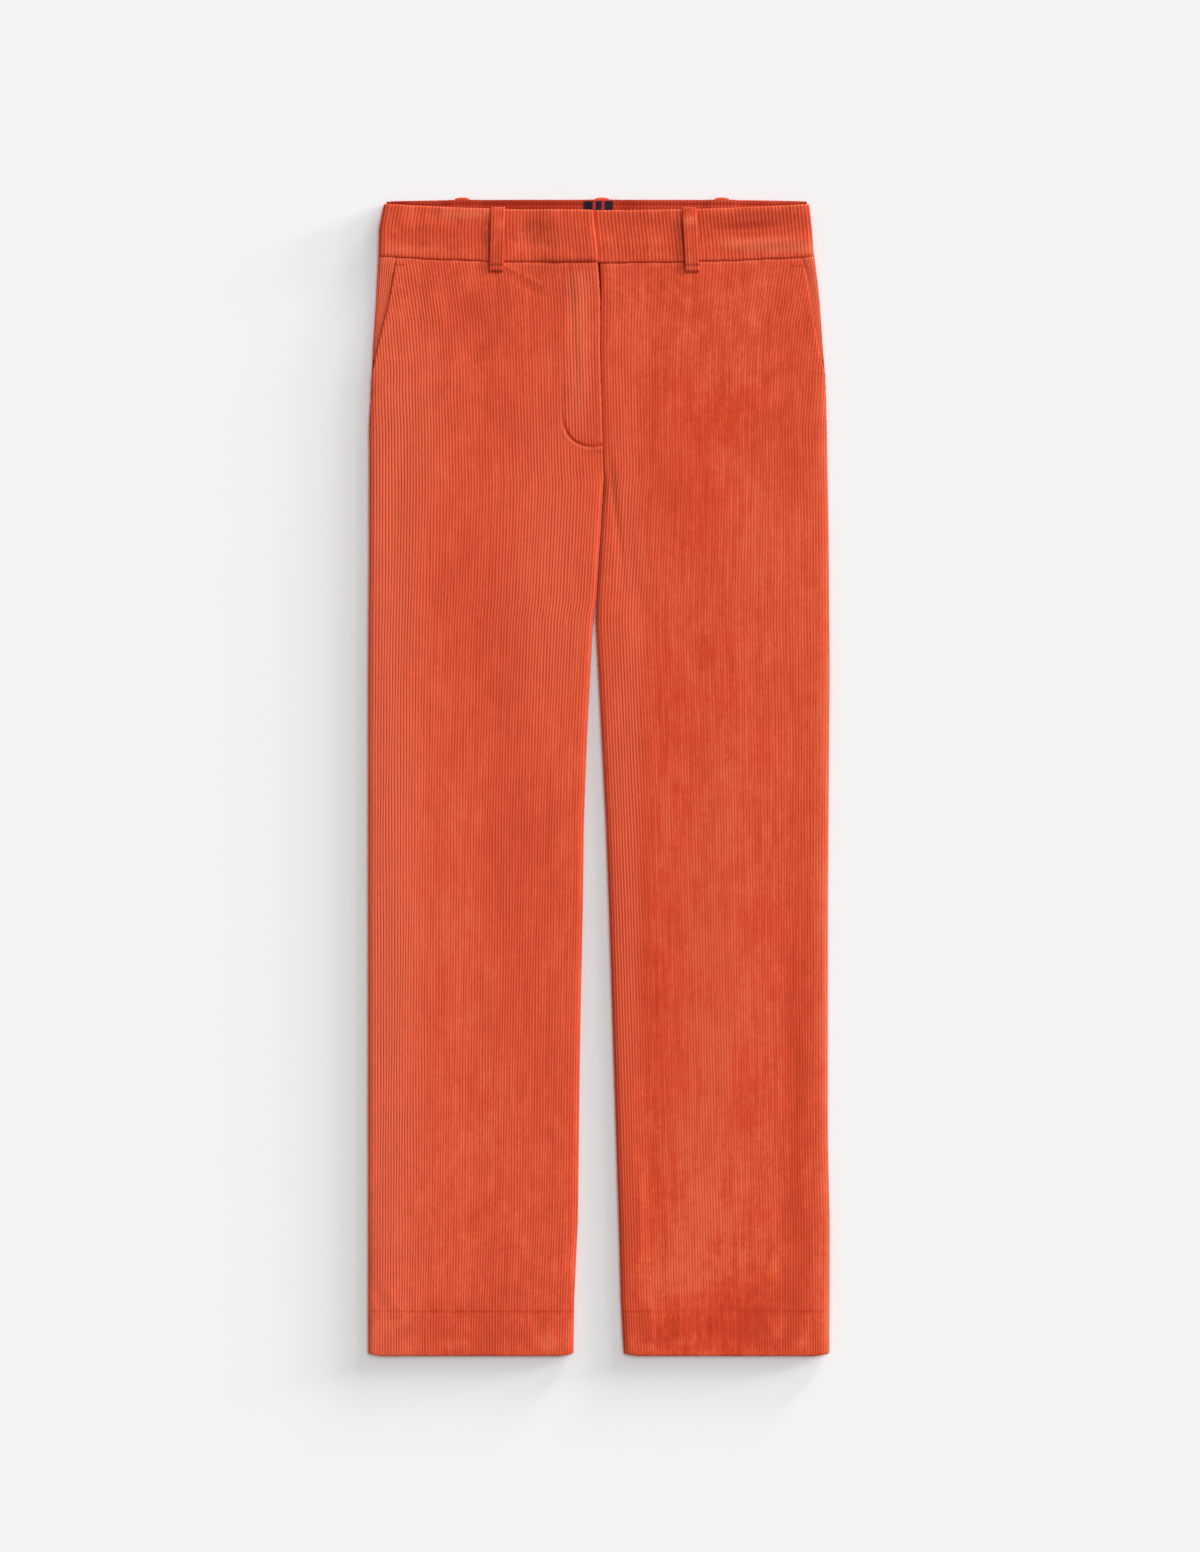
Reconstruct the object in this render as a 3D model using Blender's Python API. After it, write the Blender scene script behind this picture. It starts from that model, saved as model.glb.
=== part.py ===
"""Corduroy trousers laid flat on their back, front up, waist towards +Y.

All sizes below are millimetres. "drop" is the distance down the garment from its highest
point at the waist, so the hems are at drop = LENGTH. x runs across the garment from its
centre line, and z is the height above the surface the garment lies on. Every piece is a
closed wall between a top grid and an under grid of points, joined around the rim.
"""

import math

import bmesh
import bpy
import numpy as np

MM = 0.001

# ---------------------------------------------------------------- driving sizes
LENGTH = 1020.0  # whole garment, waist to hem
SEAM_GAP = 0.3  # between pieces that are sewn together
WALL = 1.55  # corduroy, from its back to the bottom of the grooves
WALE_RISE = 0.6  # height of a wale above the groove
HEM_WALL = 2.8  # cloth turned up double
HEM_TURN = 39.0  # depth of the turned hem
BAND_WALL = 2.3  # waistband, doubled
BAND_DEPTH = 47.5
SIDE_SEAM_Z = 2.9  # height of the side seams and inseams
BAND_SEAM_Z = 3.6  # height of the waistband's side seams
FRONT_TOP_Z = 6.75  # grooves of the front panels, at rest on the back ones
CROWN = 0.7  # soft rise from the leg's edges to its middle
CROWN_REACH = 26.0
EDGE_REACH = 5.5  # how far in the front rounds over to its seam
ARC_SHARE = 1.24  # the rounded edge's length along the cloth, over its reach
BACK_EDGE_REACH = 4.2
WALE_FADE = 1.5
WALES_PER_LEG = 78
WALES_PER_BAND = 63
FACING_TOP_Z = 4.4
FACING_WALL = 1.4
FACING_EDGE_REACH = 4.5
FACING_RIB = 0.75  # share of a wale's height left between the front and the facing
FACING_UNDERLAY = 26.0  # how far the facing runs on under the front
BAND_BASE_Z = 5.3  # underside of the front waistbands
BACK_LOOP_WALL = 1.4
LOOP_WIDTH = 12.3
LAP_RISE = 3.75  # left band end above its own base, over the underlap and hook
LAP_REACH = 32.0  # the lap's length at full height
LAP_SLOPE = 30.0  # the stretch over which it climbs
LAP_NOSE = 0.6  # how far its very end bends down again
UNDERLAP = 30.0
UNDERLAP_WALES = 6
PRESSED = 0.25  # share of a wale's height left where the lap presses on the underlap
HEM_FOLD = 4.0  # the last stretch of a hem, rounded over its fold
HEM_FOLD_DROP = 0.35  # share of its height that the fold loses at the very end
HEM_LIFT = 2.2  # how far a hem's corners ride up beside its straight middle
HEM_LIFT_REACH = 14.0
HEM_LIFT_DEPTH = 25.0
FACING_WALES = 7  # wales that show outside a pocket mouth, and one under its edge
WAIST_FADE = 40.0  # the drop over which the waist seam's dip dies away down the legs
WAIST_FADE_END = 100.0
TURN_LEAD = 12.0  # an edge starts to round over this far above the pocket's end or the fork
ZIP_SIDE = -9.0  # the chain's middle, from the fly line
METAL = (0.6, 0.6, 0.6)
PANEL_COLUMNS = 14  # across a plain face of a leg panel
BAND_COLUMNS = 18
BACK_BAND_COLUMNS = 96
SHARP_EDGE = math.radians(30)

# ---------------------------------------------------------------- outline tables
# Side seams: distance of each from the centre line.
SIDE_SEAMS = [
    # drop, left, right
    (4, 189.0, 185.0),
    (28, 193.5, 187.5),
    (55, 194.2, 189.5),
    (92, 196.2, 194.5),
    (130, 198.8, 197.1),
    (160, 200.2, 199.5),
    (200, 202.4, 200.6),
    (300, 202.5, 202.4),
    (420, 203.3, 203.3),
    (620, 203.3, 201.7),
    (830, 203.3, 201.6),
    (900, 203.3, 203.3),
    (LENGTH, 203.3, 203.0),
]
# Centre-front and inseam lines: x of the left panel's inner edge and the right panel's.
INNER_EDGES = [
    # drop, left panel, right panel
    (57, -1.9, 0.4),
    (70, -0.8, 1.2),
    (91, 0.6, 1.7),
    (135, 0.7, 1.2),
    (217, 3.2, 3.6),
    (248, 4.2, 4.6),
    (300, 1.3, 1.7),
    (355, -2.3, -1.9),
    (373, -5.0, -2.6),
    (408, -7.0, -0.9),
    (478, -10.6, 2.6),
    (549, -13.2, 6.2),
    (619, -14.1, 8.8),
    (760, -16.9, 13.2),
    (901, -18.5, 17.6),
    (971, -21.8, 19.4),
    (LENGTH, -22.4, 22.0),
]
# Where the outermost wale would run if the side seam didn't cut it: distance from the centre.
WALE_FAN = [
    # drop, left, right
    (53, 219.0, 224.4),
    (65, 216.5, 221.8),
    (109, 208.0, 211.0),
    (153, 204.2, 206.0),
    (205, 202.4, 200.6),
]
POCKET_MOUTHS = [
    # drop, left, right
    (53, 176.9, 177.1),
    (72, 180.8, 182.7),
    (96, 185.7, 187.3),
    (115, 190.9, 190.1),
    (141, 196.9, 195.3),
    (158, 200.0, 199.5),
]
# Soft lengthwise folds of the front: a trough (-) or ridge (+) along a line.
FOLDS = [
    # x start, drop start, x end, drop end, width, height
    (10, 262, 42, 385, 11, -0.9),
    (32, 690, 52, 975, 13, -0.8),
    (-192, 300, -176, 700, 10, 0.4),
    (-150, 520, -165, 930, 16, -0.6),
    (-60, 330, -78, 760, 20, 0.5),
    (120, 360, 104, 830, 24, 0.5),
    (168, 640, 160, 985, 14, -0.6),
    (-112, 700, -104, 990, 12, -0.5),
    (-66, 66, -40, 150, 10, -0.5),
    (58, 70, 30, 190, 12, -0.5),
]
PANEL_ROWS = (82, 112, 138, 158, 186, 236, 260, 310, 385, 500, 690, 930)
FACING_ROWS = (67, 76, 86, 97, 108, 120, 131, 143)
BACK_LOOPS = [
    # name, x
    ("belt_loop_back_left", -120.5),
    ("belt_loop_back_centre", 2.6),
    ("belt_loop_back_right", 108.2),
]
FRONT_LOOPS = [
    # name, x at the top, x at the bottom
    ("belt_loop_front_left", -88.6, -90.2),
    ("belt_loop_front_right", 79.3, 82.4),
]


# ---------------------------------------------------------------- small helpers
def column(table, index):
    """A function of drop read from one column of a table, straight between its rows."""
    drops = [row[0] for row in table]
    values = [row[index] for row in table]
    return lambda drop: float(np.interp(drop, drops, values))


def smooth(t):
    """0 below 0, 1 above 1, with soft ends."""
    t = min(max(t, 0.0), 1.0)
    return t * t * (3 - 2 * t)


def rounded(u):
    """Share of its rise that a rounded edge still lacks, u of the way in from that edge."""
    u = min(max(u, 0.0), 1.0)
    return 1 - math.sqrt(1 - (1 - u) ** 2)


SIDES = {-1: column(SIDE_SEAMS, 1), 1: column(SIDE_SEAMS, 2)}
INNERS = {-1: column(INNER_EDGES, 1), 1: column(INNER_EDGES, 2)}
FANS = {-1: column(WALE_FAN, 1), 1: column(WALE_FAN, 2)}
MOUTHS = {-1: column(POCKET_MOUTHS, 1), 1: column(POCKET_MOUTHS, 2)}
MOUTH_END = POCKET_MOUTHS[-1][0]
FORK_DROP = 248.0
WAIST_SEAM_DROP = 58.0  # at the centre; it climbs towards the sides
WAIST_SEAM_CLIMB = 5.3
BACK_SEAM_ABOVE = 2.0  # the back waist seam lies this much higher
FRONT_TOP_DROP = 11.6  # the front band's top edge at the centre
FRONT_TOP_CLIMB = 5.4
BACK_TOP_DROP = 2.6
BACK_END_DIP = 1.6
HALF_WAIST = 190.0
HEM_START = LENGTH - HEM_TURN
HEM_STEP = 2.0


def waist_seam(x):
    return WAIST_SEAM_DROP - WAIST_SEAM_CLIMB * (x / HALF_WAIST) ** 2


def back_seam(x):
    return waist_seam(x) - BACK_SEAM_ABOVE


def band_top_edge(x):
    return FRONT_TOP_DROP - FRONT_TOP_CLIMB * (x / HALF_WAIST) ** 2


def fold_relief(x, drop):
    """Height that the soft folds add to the front at a point."""
    total = 0.0
    for x0, d0, x1, d1, width, height in FOLDS:
        along = (drop - d0) / (d1 - d0)
        if -0.3 < along < 1.3:
            fade = smooth((along + 0.3) / 0.5) * smooth((1.3 - along) / 0.5)
            away = (x - (x0 + (x1 - x0) * along)) / width
            total += height * fade * math.exp(-away * away)
    return total


# ---------------------------------------------------------------- cloth surfaces
def side_turn(drop):
    """How far the front's outer edge has rounded down to the side seam, below the pocket."""
    return smooth((drop - MOUTH_END + TURN_LEAD) / (2.5 * TURN_LEAD))


def inner_turn(drop):
    """How far an inner edge has rounded down to the inseam, below the fork."""
    return smooth((drop - FORK_DROP + TURN_LEAD) / (2 * TURN_LEAD))


def fan_end(side, drop):
    """Where the outermost wale runs: outside the hips' side seam, on it further down."""
    if drop > WALE_FAN[-1][0]:
        return SIDES[side](drop)
    return max(FANS[side](drop), SIDES[side](drop))


def outer_edge(side, drop):
    """x of a front panel's outer edge: the pocket mouth, then the side seam."""
    edge = MOUTHS[side](drop) if drop < MOUTH_END else SIDES[side](drop)
    return side * min(edge, SIDES[side](drop))


def front_edges(side, drop):
    """(x, turn) of a front panel's left edge and of its right edge."""
    outer = (outer_edge(side, drop), side_turn(drop))
    inner = (INNERS[side](drop), inner_turn(drop))
    return (outer, inner) if side < 0 else (inner, outer)


def front_flat(x, drop, edges):
    """Height of the front's grooves away from its rounded edges."""
    (left, turn_left), (right, turn_right) = edges
    crown = CROWN * (
        turn_left * rounded((x - left) / CROWN_REACH) ** 2
        + turn_right * rounded((right - x) / CROWN_REACH) ** 2
    )
    waist_fade = smooth((drop - WAIST_SEAM_DROP - 4) / WAIST_FADE)
    return FRONT_TOP_Z + 0.1 - crown + fold_relief(x, drop) * waist_fade


def walled(x, flat, edges, seam_z, reach, wall):
    """Height of one face of a panel whose edges round down from `flat` to the seam."""
    (left, turn_left), (right, turn_right) = edges
    lost = 0.0
    for away, turn in ((x - left, turn_left), (right - x, turn_right)):
        lost += turn * (flat - seam_z) * rounded((away - turn * wall) / (reach - wall))
    return flat - lost


def front_top(side, x, drop):
    edges = front_edges(side, drop)
    flat = front_flat(x, drop, edges)
    return walled(x, flat, edges, SIDE_SEAM_Z + SEAM_GAP / 2, EDGE_REACH, 0.0)


def hem_wall(drop):
    """The wall's thickness: the cloth is double inside the turned hem."""
    return WALL + (HEM_WALL - WALL) * smooth((drop - HEM_START) / HEM_STEP)


def front_under(side, x, drop):
    edges = front_edges(side, drop)
    wall = hem_wall(drop)
    flat = front_flat(x, drop, edges) - wall
    return walled(x, flat, edges, SIDE_SEAM_Z + SEAM_GAP / 2, EDGE_REACH, WALL)


def back_bump(x):
    """How far the back waistband is lifted by the loops that lie under it, 0 to 1."""
    lift = 0.0
    for _, loop_x in BACK_LOOPS:
        lift = max(lift, smooth((19 - abs(x - loop_x)) / 11))
    return lift


def back_band_under(x):
    return (BACK_LOOP_WALL + SEAM_GAP) * back_bump(x)


def back_band_top(x):
    return back_band_under(x) + BAND_WALL


def lap_line(drop):
    """x of the left waistband's end, over the right one."""
    return -4.6 + 3.9 * smooth((drop - 10) / 48)


def front_band_base(side, x, drop):
    """Height of a front band's underside: the left one climbs over the underlap."""
    if side > 0:
        return BAND_BASE_Z + 0.2 * smooth((30 - x) / 20)
    past = x - lap_line(drop)
    climb = LAP_RISE * smooth((past + LAP_REACH + LAP_SLOPE) / LAP_SLOPE)
    return BAND_BASE_Z + climb - LAP_NOSE * smooth((past + 6) / 6)


# ---------------------------------------------------------------- walls from two grids
def wale_positions(start, end, turns, count):
    """x of the grooves and crests of `count` wales between two edges, evenly along the cloth.

    Where an edge rounds down, the wales there keep their spacing along the cloth, so from
    above they lie closer together."""
    arc = EDGE_REACH * ARC_SHARE
    spare = [turn * (arc - EDGE_REACH) for turn in turns]
    length = end - start + sum(spare)
    places = []
    for step in range(2 * count + 1):
        along = length * step / (2 * count)
        x = start + along - spare[0]
        if along < arc:
            bent = EDGE_REACH * (max(along, 0.0) / arc) ** ARC_SHARE
            x = start + along + (bent - along) * turns[0]
        elif length - along < arc:
            rest = length - along
            bent = EDGE_REACH * (max(rest, 0.0) / arc) ** ARC_SHARE
            x = end - rest - (bent - rest) * turns[1]
        places.append(x)
    return places


def crest(step, x, left, right):
    """Height of a wale's crest at an odd step, fading at the panel's own edges."""
    if step % 2 == 0:
        return 0.0
    return WALE_RISE * min(1.0, max(0.0, min(x - left, right - x) / WALE_FADE))


def along_line(points):
    """Each point's share of the way along its line, seen from above."""
    steps = [math.dist(a[:2], b[:2]) for a, b in zip(points, points[1:])]
    total = sum(steps) or 1.0
    return [0.0] + list(np.cumsum(steps) / total)


def zip_rims(first, second, add):
    """Joins two lines of points with triangles, always taking the nearer next point."""
    places = along_line(first), along_line(second)
    i = j = 0
    while i < len(first) - 1 or j < len(second) - 1:
        take_first = j == len(second) - 1 or (
            i < len(first) - 1 and places[0][i + 1] <= places[1][j + 1]
        )
        if take_first:
            add(first[i], first[i + 1], second[j])
            i += 1
        else:
            add(first[i], second[j + 1], second[j])
            j += 1


def rims(grid):
    """A grid's four border lines, each from left to right or from top to bottom."""
    return grid[0], grid[-1], [row[0] for row in grid], [row[-1] for row in grid]


def wall_mesh(name, top, under):
    """A closed mesh between two grids of (x, drop, z) points in millimetres."""
    points, faces, index_of = [], [], {}

    def index(point):
        key = tuple(round(value, 4) for value in point)
        if key not in index_of:
            index_of[key] = len(points)
            x, drop, z = key
            points.append((x * MM, (LENGTH / 2 - drop) * MM, z * MM))
        return index_of[key]

    def add(*corners):
        face = [index(corner) for corner in corners]
        if len(set(face)) == 3:
            faces.append(face)

    for grid in (top, under):
        for upper, lower in zip(grid, grid[1:]):
            for k in range(len(upper) - 1):
                add(upper[k], lower[k], lower[k + 1])
                add(upper[k], lower[k + 1], upper[k + 1])
    for first, second in zip(rims(top), rims(under)):
        zip_rims(first, second, add)

    mesh = bpy.data.meshes.new(name)
    mesh.from_pydata(points, [], faces)
    shape = bmesh.new()
    shape.from_mesh(mesh)
    bmesh.ops.recalc_face_normals(shape, faces=shape.faces)
    shape.to_mesh(mesh)
    shape.free()
    mesh.shade_smooth()
    mesh.set_sharp_from_angle(angle=SHARP_EDGE)
    return mesh


def make_material(name, color, roughness, metallic=0.0):
    material = bpy.data.materials.new(name)
    material.use_nodes = True
    shader = material.node_tree.nodes["Principled BSDF"]
    shader.inputs["Base Color"].default_value = (*color, 1)
    shader.inputs["Roughness"].default_value = roughness
    shader.inputs["Metallic"].default_value = metallic
    return material


def make_piece(name, top, under, color=(0.66, 0.095, 0.04), roughness=0.9, metallic=0.0):
    """One named piece with its own material."""
    piece = bpy.data.objects.new(name, wall_mesh(name, top, under))
    piece.data.materials.append(make_material(name + "_finish", color, roughness, metallic))
    bpy.context.scene.collection.objects.link(piece)
    return piece


def spread(left, right, count, ease=0.0):
    """Places between two edges, gathered towards both when ease is above 0."""
    places = []
    for step in range(count + 1):
        t = step / count
        places.append(left + (right - left) * (t - ease * math.sin(2 * math.pi * t) / (2 * math.pi)))
    return places


# ---------------------------------------------------------------- leg panels
def hem_lift(x, left, right):
    """How far a point of a hem rides up towards its corner."""
    return HEM_LIFT * (1 - smooth(min(x - left, right - x) / HEM_LIFT_REACH))


def waist_drop(x, drop):
    """The true drop of a row at x near the waist, whose seam dips at the centre."""
    fade = smooth((WAIST_FADE_END - drop) / WAIST_FADE)
    return drop + (waist_seam(x) - WAIST_SEAM_DROP) * fade


def shaped_drop(x, drop, left, right):
    """The true drop of a leg panel's row at x: its hem's corners ride up a little."""
    fade = smooth((drop - LENGTH) / HEM_LIFT_DEPTH + 1)
    return waist_drop(x, drop) - hem_lift(x, left, right) * fade


def make_front(name, side):
    """A front panel: ribbed outside, plain inside, its wall doubled in the turned hem."""
    rows = (WAIST_SEAM_DROP + SEAM_GAP / 2, *PANEL_ROWS)
    top = []
    for drop in (*rows, LENGTH - HEM_FOLD, LENGTH):
        (left, turn_left), (right, turn_right) = front_edges(side, drop)
        fan = side * fan_end(side, drop)
        ends = (fan, right) if side < 0 else (left, fan)
        row = []
        for step, x in enumerate(wale_positions(*ends, (turn_left, turn_right), WALES_PER_LEG)):
            x = min(max(x, left), right)
            z = front_top(side, x, drop) + crest(step, x, left, right)
            if drop == LENGTH:
                z -= HEM_FOLD_DROP * (z - SIDE_SEAM_Z)
            row.append((x, shaped_drop(x, drop, left, right), z))
        top.append(row)
    under = []
    for drop in (*rows[:-1], HEM_START, HEM_START + HEM_STEP, LENGTH):
        (left, turn_left), (right, turn_right) = front_edges(side, drop)
        row = []
        for x in spread(left + WALL * turn_left, right - WALL * turn_right, PANEL_COLUMNS, 0.6):
            row.append((x, shaped_drop(x, drop, left, right), front_under(side, x, drop)))
        under.append(row)
    return make_piece(name, top, under)


def make_back(name, side):
    """A back panel: flat where it rests, its edges rounded up to the seams."""
    rows = (WAIST_SEAM_DROP - BACK_SEAM_ABOVE, *PANEL_ROWS, HEM_START, HEM_START + HEM_STEP, LENGTH)
    seam_z = SIDE_SEAM_Z - SEAM_GAP / 2
    top, under = [], []
    for drop in rows:
        inner = INNERS[side](drop)
        if drop < FORK_DROP:
            centre = 0.5 * (INNERS[-1](drop) + INNERS[1](drop))
            inner = centre + side * SEAM_GAP / 2
        ends = sorted((side * SIDES[side](drop), inner))
        turns = (1.0, inner_turn(drop)) if side < 0 else (inner_turn(drop), 1.0)
        edges = tuple(zip(ends, turns))
        lower, upper = [], []
        for x in spread(*ends, PANEL_COLUMNS, 0.75):
            z = walled(x, 0.0, edges, seam_z, BACK_EDGE_REACH, 0.0)
            lower.append((x, shaped_drop(x, drop, *ends), z))
        for x in spread(ends[0] + WALL * turns[0], ends[1] - WALL * turns[1], PANEL_COLUMNS, 0.75):
            wall = hem_wall(drop)
            z = walled(x, wall, edges, max(seam_z, wall), BACK_EDGE_REACH + 1, WALL)
            upper.append((x, shaped_drop(x, drop, *ends), z))
        top.append(upper)
        under.append(lower)
    return make_piece(name, top, under)


def make_facing(name, side):
    """The ribbed cloth that shows outside a pocket mouth and runs on plain under the front."""
    seam_z = SIDE_SEAM_Z + SEAM_GAP / 2
    pitch = HALF_WAIST / WALES_PER_BAND
    top, under = [], []
    for drop in (WAIST_SEAM_DROP + SEAM_GAP / 2, *FACING_ROWS):
        outer = SIDES[side](drop)
        mouth = MOUTHS[side](drop) - pitch
        inner = mouth - FACING_UNDERLAY
        edges = ((inner, 0), (outer, 1))
        upper, lower = [], []
        for step in range(2 * FACING_WALES + 1):
            away = outer + (mouth - outer) * step / (2 * FACING_WALES)
            z = walled(away, FACING_TOP_Z, edges, seam_z, FACING_EDGE_REACH, 0.0)
            rise = FACING_RIB * crest(step, away, mouth, outer)
            upper.append((side * away, waist_drop(side * away, drop), z + rise))
        upper.append((side * inner, waist_drop(side * inner, drop), FACING_TOP_Z))
        for away in spread(outer - FACING_WALL, inner, 6):
            flat = FACING_TOP_Z - FACING_WALL
            z = walled(away, flat, edges, seam_z, FACING_EDGE_REACH, FACING_WALL)
            lower.append((side * away, waist_drop(side * away, drop), z))
        top.append(upper)
        under.append(lower)
    return make_piece(name, top, under)


# ---------------------------------------------------------------- waistband
FRONT_BAND_ROWS = [
    # share of the way down, lowered by, share of a wale's height
    (0.0, 0.9, 0.0),
    (0.03, 0.0, 1.0),
    (0.5, 0.0, 0.85),
    (1.0, 0.0, 1.0),
]


def band_ends(side, share):
    """x of a front band's left and right end, share of the way down it."""
    outer = side * SIDES[side](7 + share * BAND_DEPTH)
    lap = lap_line(FRONT_TOP_DROP + share * BAND_DEPTH)
    return (outer, lap) if side < 0 else (lap - UNDERLAP, outer)


def band_point(side, x, share, thick):
    """A point of a front band's underside, or of its face when thick is the whole wall."""
    left, right = band_ends(side, share)
    start = band_top_edge(x)
    drop = start + (waist_seam(x) - SEAM_GAP / 2 - start) * share
    flat = front_band_base(side, x, drop) + thick
    edges = ((left, float(side < 0)), (right, float(side > 0)))
    inset = BAND_WALL - thick
    z = walled(x, flat, edges, BAND_SEAM_Z + SEAM_GAP / 2, EDGE_REACH + inset / 2, inset)
    return x, drop, z


def press(side, x, drop):
    """Share of a wale's height left: the lap flattens the underlap's."""
    if side < 0:
        return 1.0
    return PRESSED + (1 - PRESSED) * smooth((x - lap_line(drop) - SEAM_GAP) / 2)


def make_front_band(name, side):
    """Half of the front waistband: the left one laps over the right one's underlap."""
    wales = WALES_PER_BAND if side < 0 else WALES_PER_BAND + UNDERLAP_WALES
    turns = (float(side < 0), float(side > 0))
    top, under = [], []
    for share, lowered, rib in FRONT_BAND_ROWS:
        left, right = band_ends(side, share)
        row = []
        for step, x in enumerate(wale_positions(left, right, turns, wales)):
            x, drop, z = band_point(side, x, share, BAND_WALL)
            z -= lowered * smooth((z - BAND_SEAM_Z - 1) / 2)
            row.append((x, drop, z + rib * press(side, x, drop) * crest(step, x, left, right)))
        top.append(row)
    for share in (0.0, 0.5, 1.0):
        left, right = band_ends(side, share)
        inner_ends = (left + BAND_WALL * turns[0], right - BAND_WALL * turns[1])
        under.append([band_point(side, x, share, 0.0) for x in spread(*inner_ends, BAND_COLUMNS)])
    return make_piece(name, top, under)


BACK_BAND_PLAIN = 9.0  # its ribs end this far from the side seams, where it turns in
BACK_BAND_ROWS = [
    # drop, share of a wale's height
    (BACK_TOP_DROP, 0.7),
    (15, 0.0),
    (BAND_DEPTH, 0.0),
]


def back_band_drop(x, drop):
    """The back band's ends sit a little lower, and its last row follows the waist seam."""
    if drop == BAND_DEPTH:
        return back_seam(x) - SEAM_GAP
    return drop + BACK_END_DIP * (x / HALF_WAIST) ** 4


def make_back_band(name):
    """The back waistband, its ribbed inner face up, lifted where loops lie under it."""
    seam_z = BAND_SEAM_Z - SEAM_GAP / 2
    wales = 2 * WALES_PER_BAND
    top, under = [], []
    for drop, rib in BACK_BAND_ROWS:
        ends = (-SIDES[-1](drop), SIDES[1](drop))
        edges = tuple((end, 1.0) for end in ends)
        row = []
        for x in wale_positions(ends[0] + BAND_WALL, ends[1] - BAND_WALL, (0, 0), wales):
            step = len(row)
            z = walled(x, back_band_top(x), edges, seam_z, EDGE_REACH + 1, BAND_WALL)
            rise = rib * crest(step, x, ends[0] + BACK_BAND_PLAIN, ends[1] - BACK_BAND_PLAIN)
            row.append((x, back_band_drop(x, drop), z + rise))
        top.append(row)
    for drop in (BACK_TOP_DROP, BAND_DEPTH):
        ends = (-SIDES[-1](drop), SIDES[1](drop))
        edges = tuple((end, 1.0) for end in ends)
        row = []
        for x in spread(*ends, BACK_BAND_COLUMNS):
            z = walled(x, back_band_under(x), edges, seam_z, BACK_EDGE_REACH, 0.0)
            row.append((x, back_band_drop(x, drop), z))
        under.append(row)
    return make_piece(name, top, under)


# ---------------------------------------------------------------- loops
LOOP_ABOVE = 1.75  # a front loop's top above the band's edge
LOOP_STEP = 49.5  # where it steps from the band down to the panel
LOOP_STEP_LENGTH = 2.5
LOOP_ACROSS = [
    # share of the half width, how much lower its top side is there
    (-1.0, 0.35),
    (-0.8, 0.0),
    (0.0, 0.0),
    (0.8, 0.0),
    (1.0, 0.35),
]
LOOP_PATH_TOP = [
    # drop below the loop's top, height over the band
    (0.0, -2.2),
    (0.0, 0.2),
    (0.8, 1.4),
    (3.0, 2.1),
    (12.0, 3.2),
    (26.0, 3.7),
    (42.0, 3.2),
    (50.0, 2.6),
    (55.0, 2.4),
    (56.4, 1.6),
    (56.6, 0.6),
]
LOOP_PATH_UNDER = [
    # drop below the loop's top, height over the band
    (1.4, -2.2),
    (1.4, 0.0),
    (2.6, 0.4),
    (5.0, 0.5),
    (13.0, 1.6),
    (26.0, 2.1),
    (40.0, 1.7),
    (45.0, 0.9),
    (48.0, 0.4),
    (52.0, 0.35),
    (56.5, 0.3),
]


def loop_line(path, top_x, bottom_x):
    """A grid of points across a loop that follows a path of (drop, height) rows."""
    band = BAND_BASE_Z + BAND_WALL + WALE_RISE
    panel = FRONT_TOP_Z + WALE_RISE + SEAM_GAP
    top_drop = band_top_edge(top_x) - LOOP_ABOVE
    length = path[-1][0]
    grid = []
    for below, height in path:
        level = band + (panel - band) * smooth((below - LOOP_STEP) / LOOP_STEP_LENGTH)
        x = top_x + (bottom_x - top_x) * below / length
        row = []
        for across, lowered in LOOP_ACROSS:
            top_side = lowered if path is LOOP_PATH_TOP else 0.0
            row.append((x + across * LOOP_WIDTH / 2, top_drop + below, level + height - top_side))
        grid.append(row)
    return grid


def make_front_loop(name, top_x, bottom_x):
    """A loop turned over the band's top edge and sewn down just below the waist seam."""
    top = loop_line(LOOP_PATH_TOP, top_x, bottom_x)
    under = loop_line(LOOP_PATH_UNDER, top_x, bottom_x)
    return make_piece(name, top, under)


BACK_LOOP_RIM = BACK_LOOP_WALL + SEAM_GAP + BAND_WALL
BACK_LOOP_TOP = [
    # drop, height: the folded end stands over the band's edge, the rest lies under the band
    (0.0, BACK_LOOP_RIM - 1.4),
    (0.5, BACK_LOOP_RIM - 0.6),
    (1.2, BACK_LOOP_RIM - 0.8),
    (2.0, BACK_LOOP_RIM - 1.6),
    (2.1, BACK_LOOP_WALL),
    (51.0, BACK_LOOP_WALL),
]
BACK_LOOP_UNDER = [
    # drop, height
    (0.0, 0.6),
    (0.6, 0.0),
    (51.0, 0.0),
]


def make_back_loop(name, loop_x):
    """A strip under the back waistband whose folded end rises over the band's top edge."""
    columns = [loop_x + share * LOOP_WIDTH / 2 for share in (-1, 0, 1)]
    top = [[(x, drop, z) for x in columns] for drop, z in BACK_LOOP_TOP]
    under = [[(x, drop, z) for x in columns] for drop, z in BACK_LOOP_UNDER]
    return make_piece(name, top, under)


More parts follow.
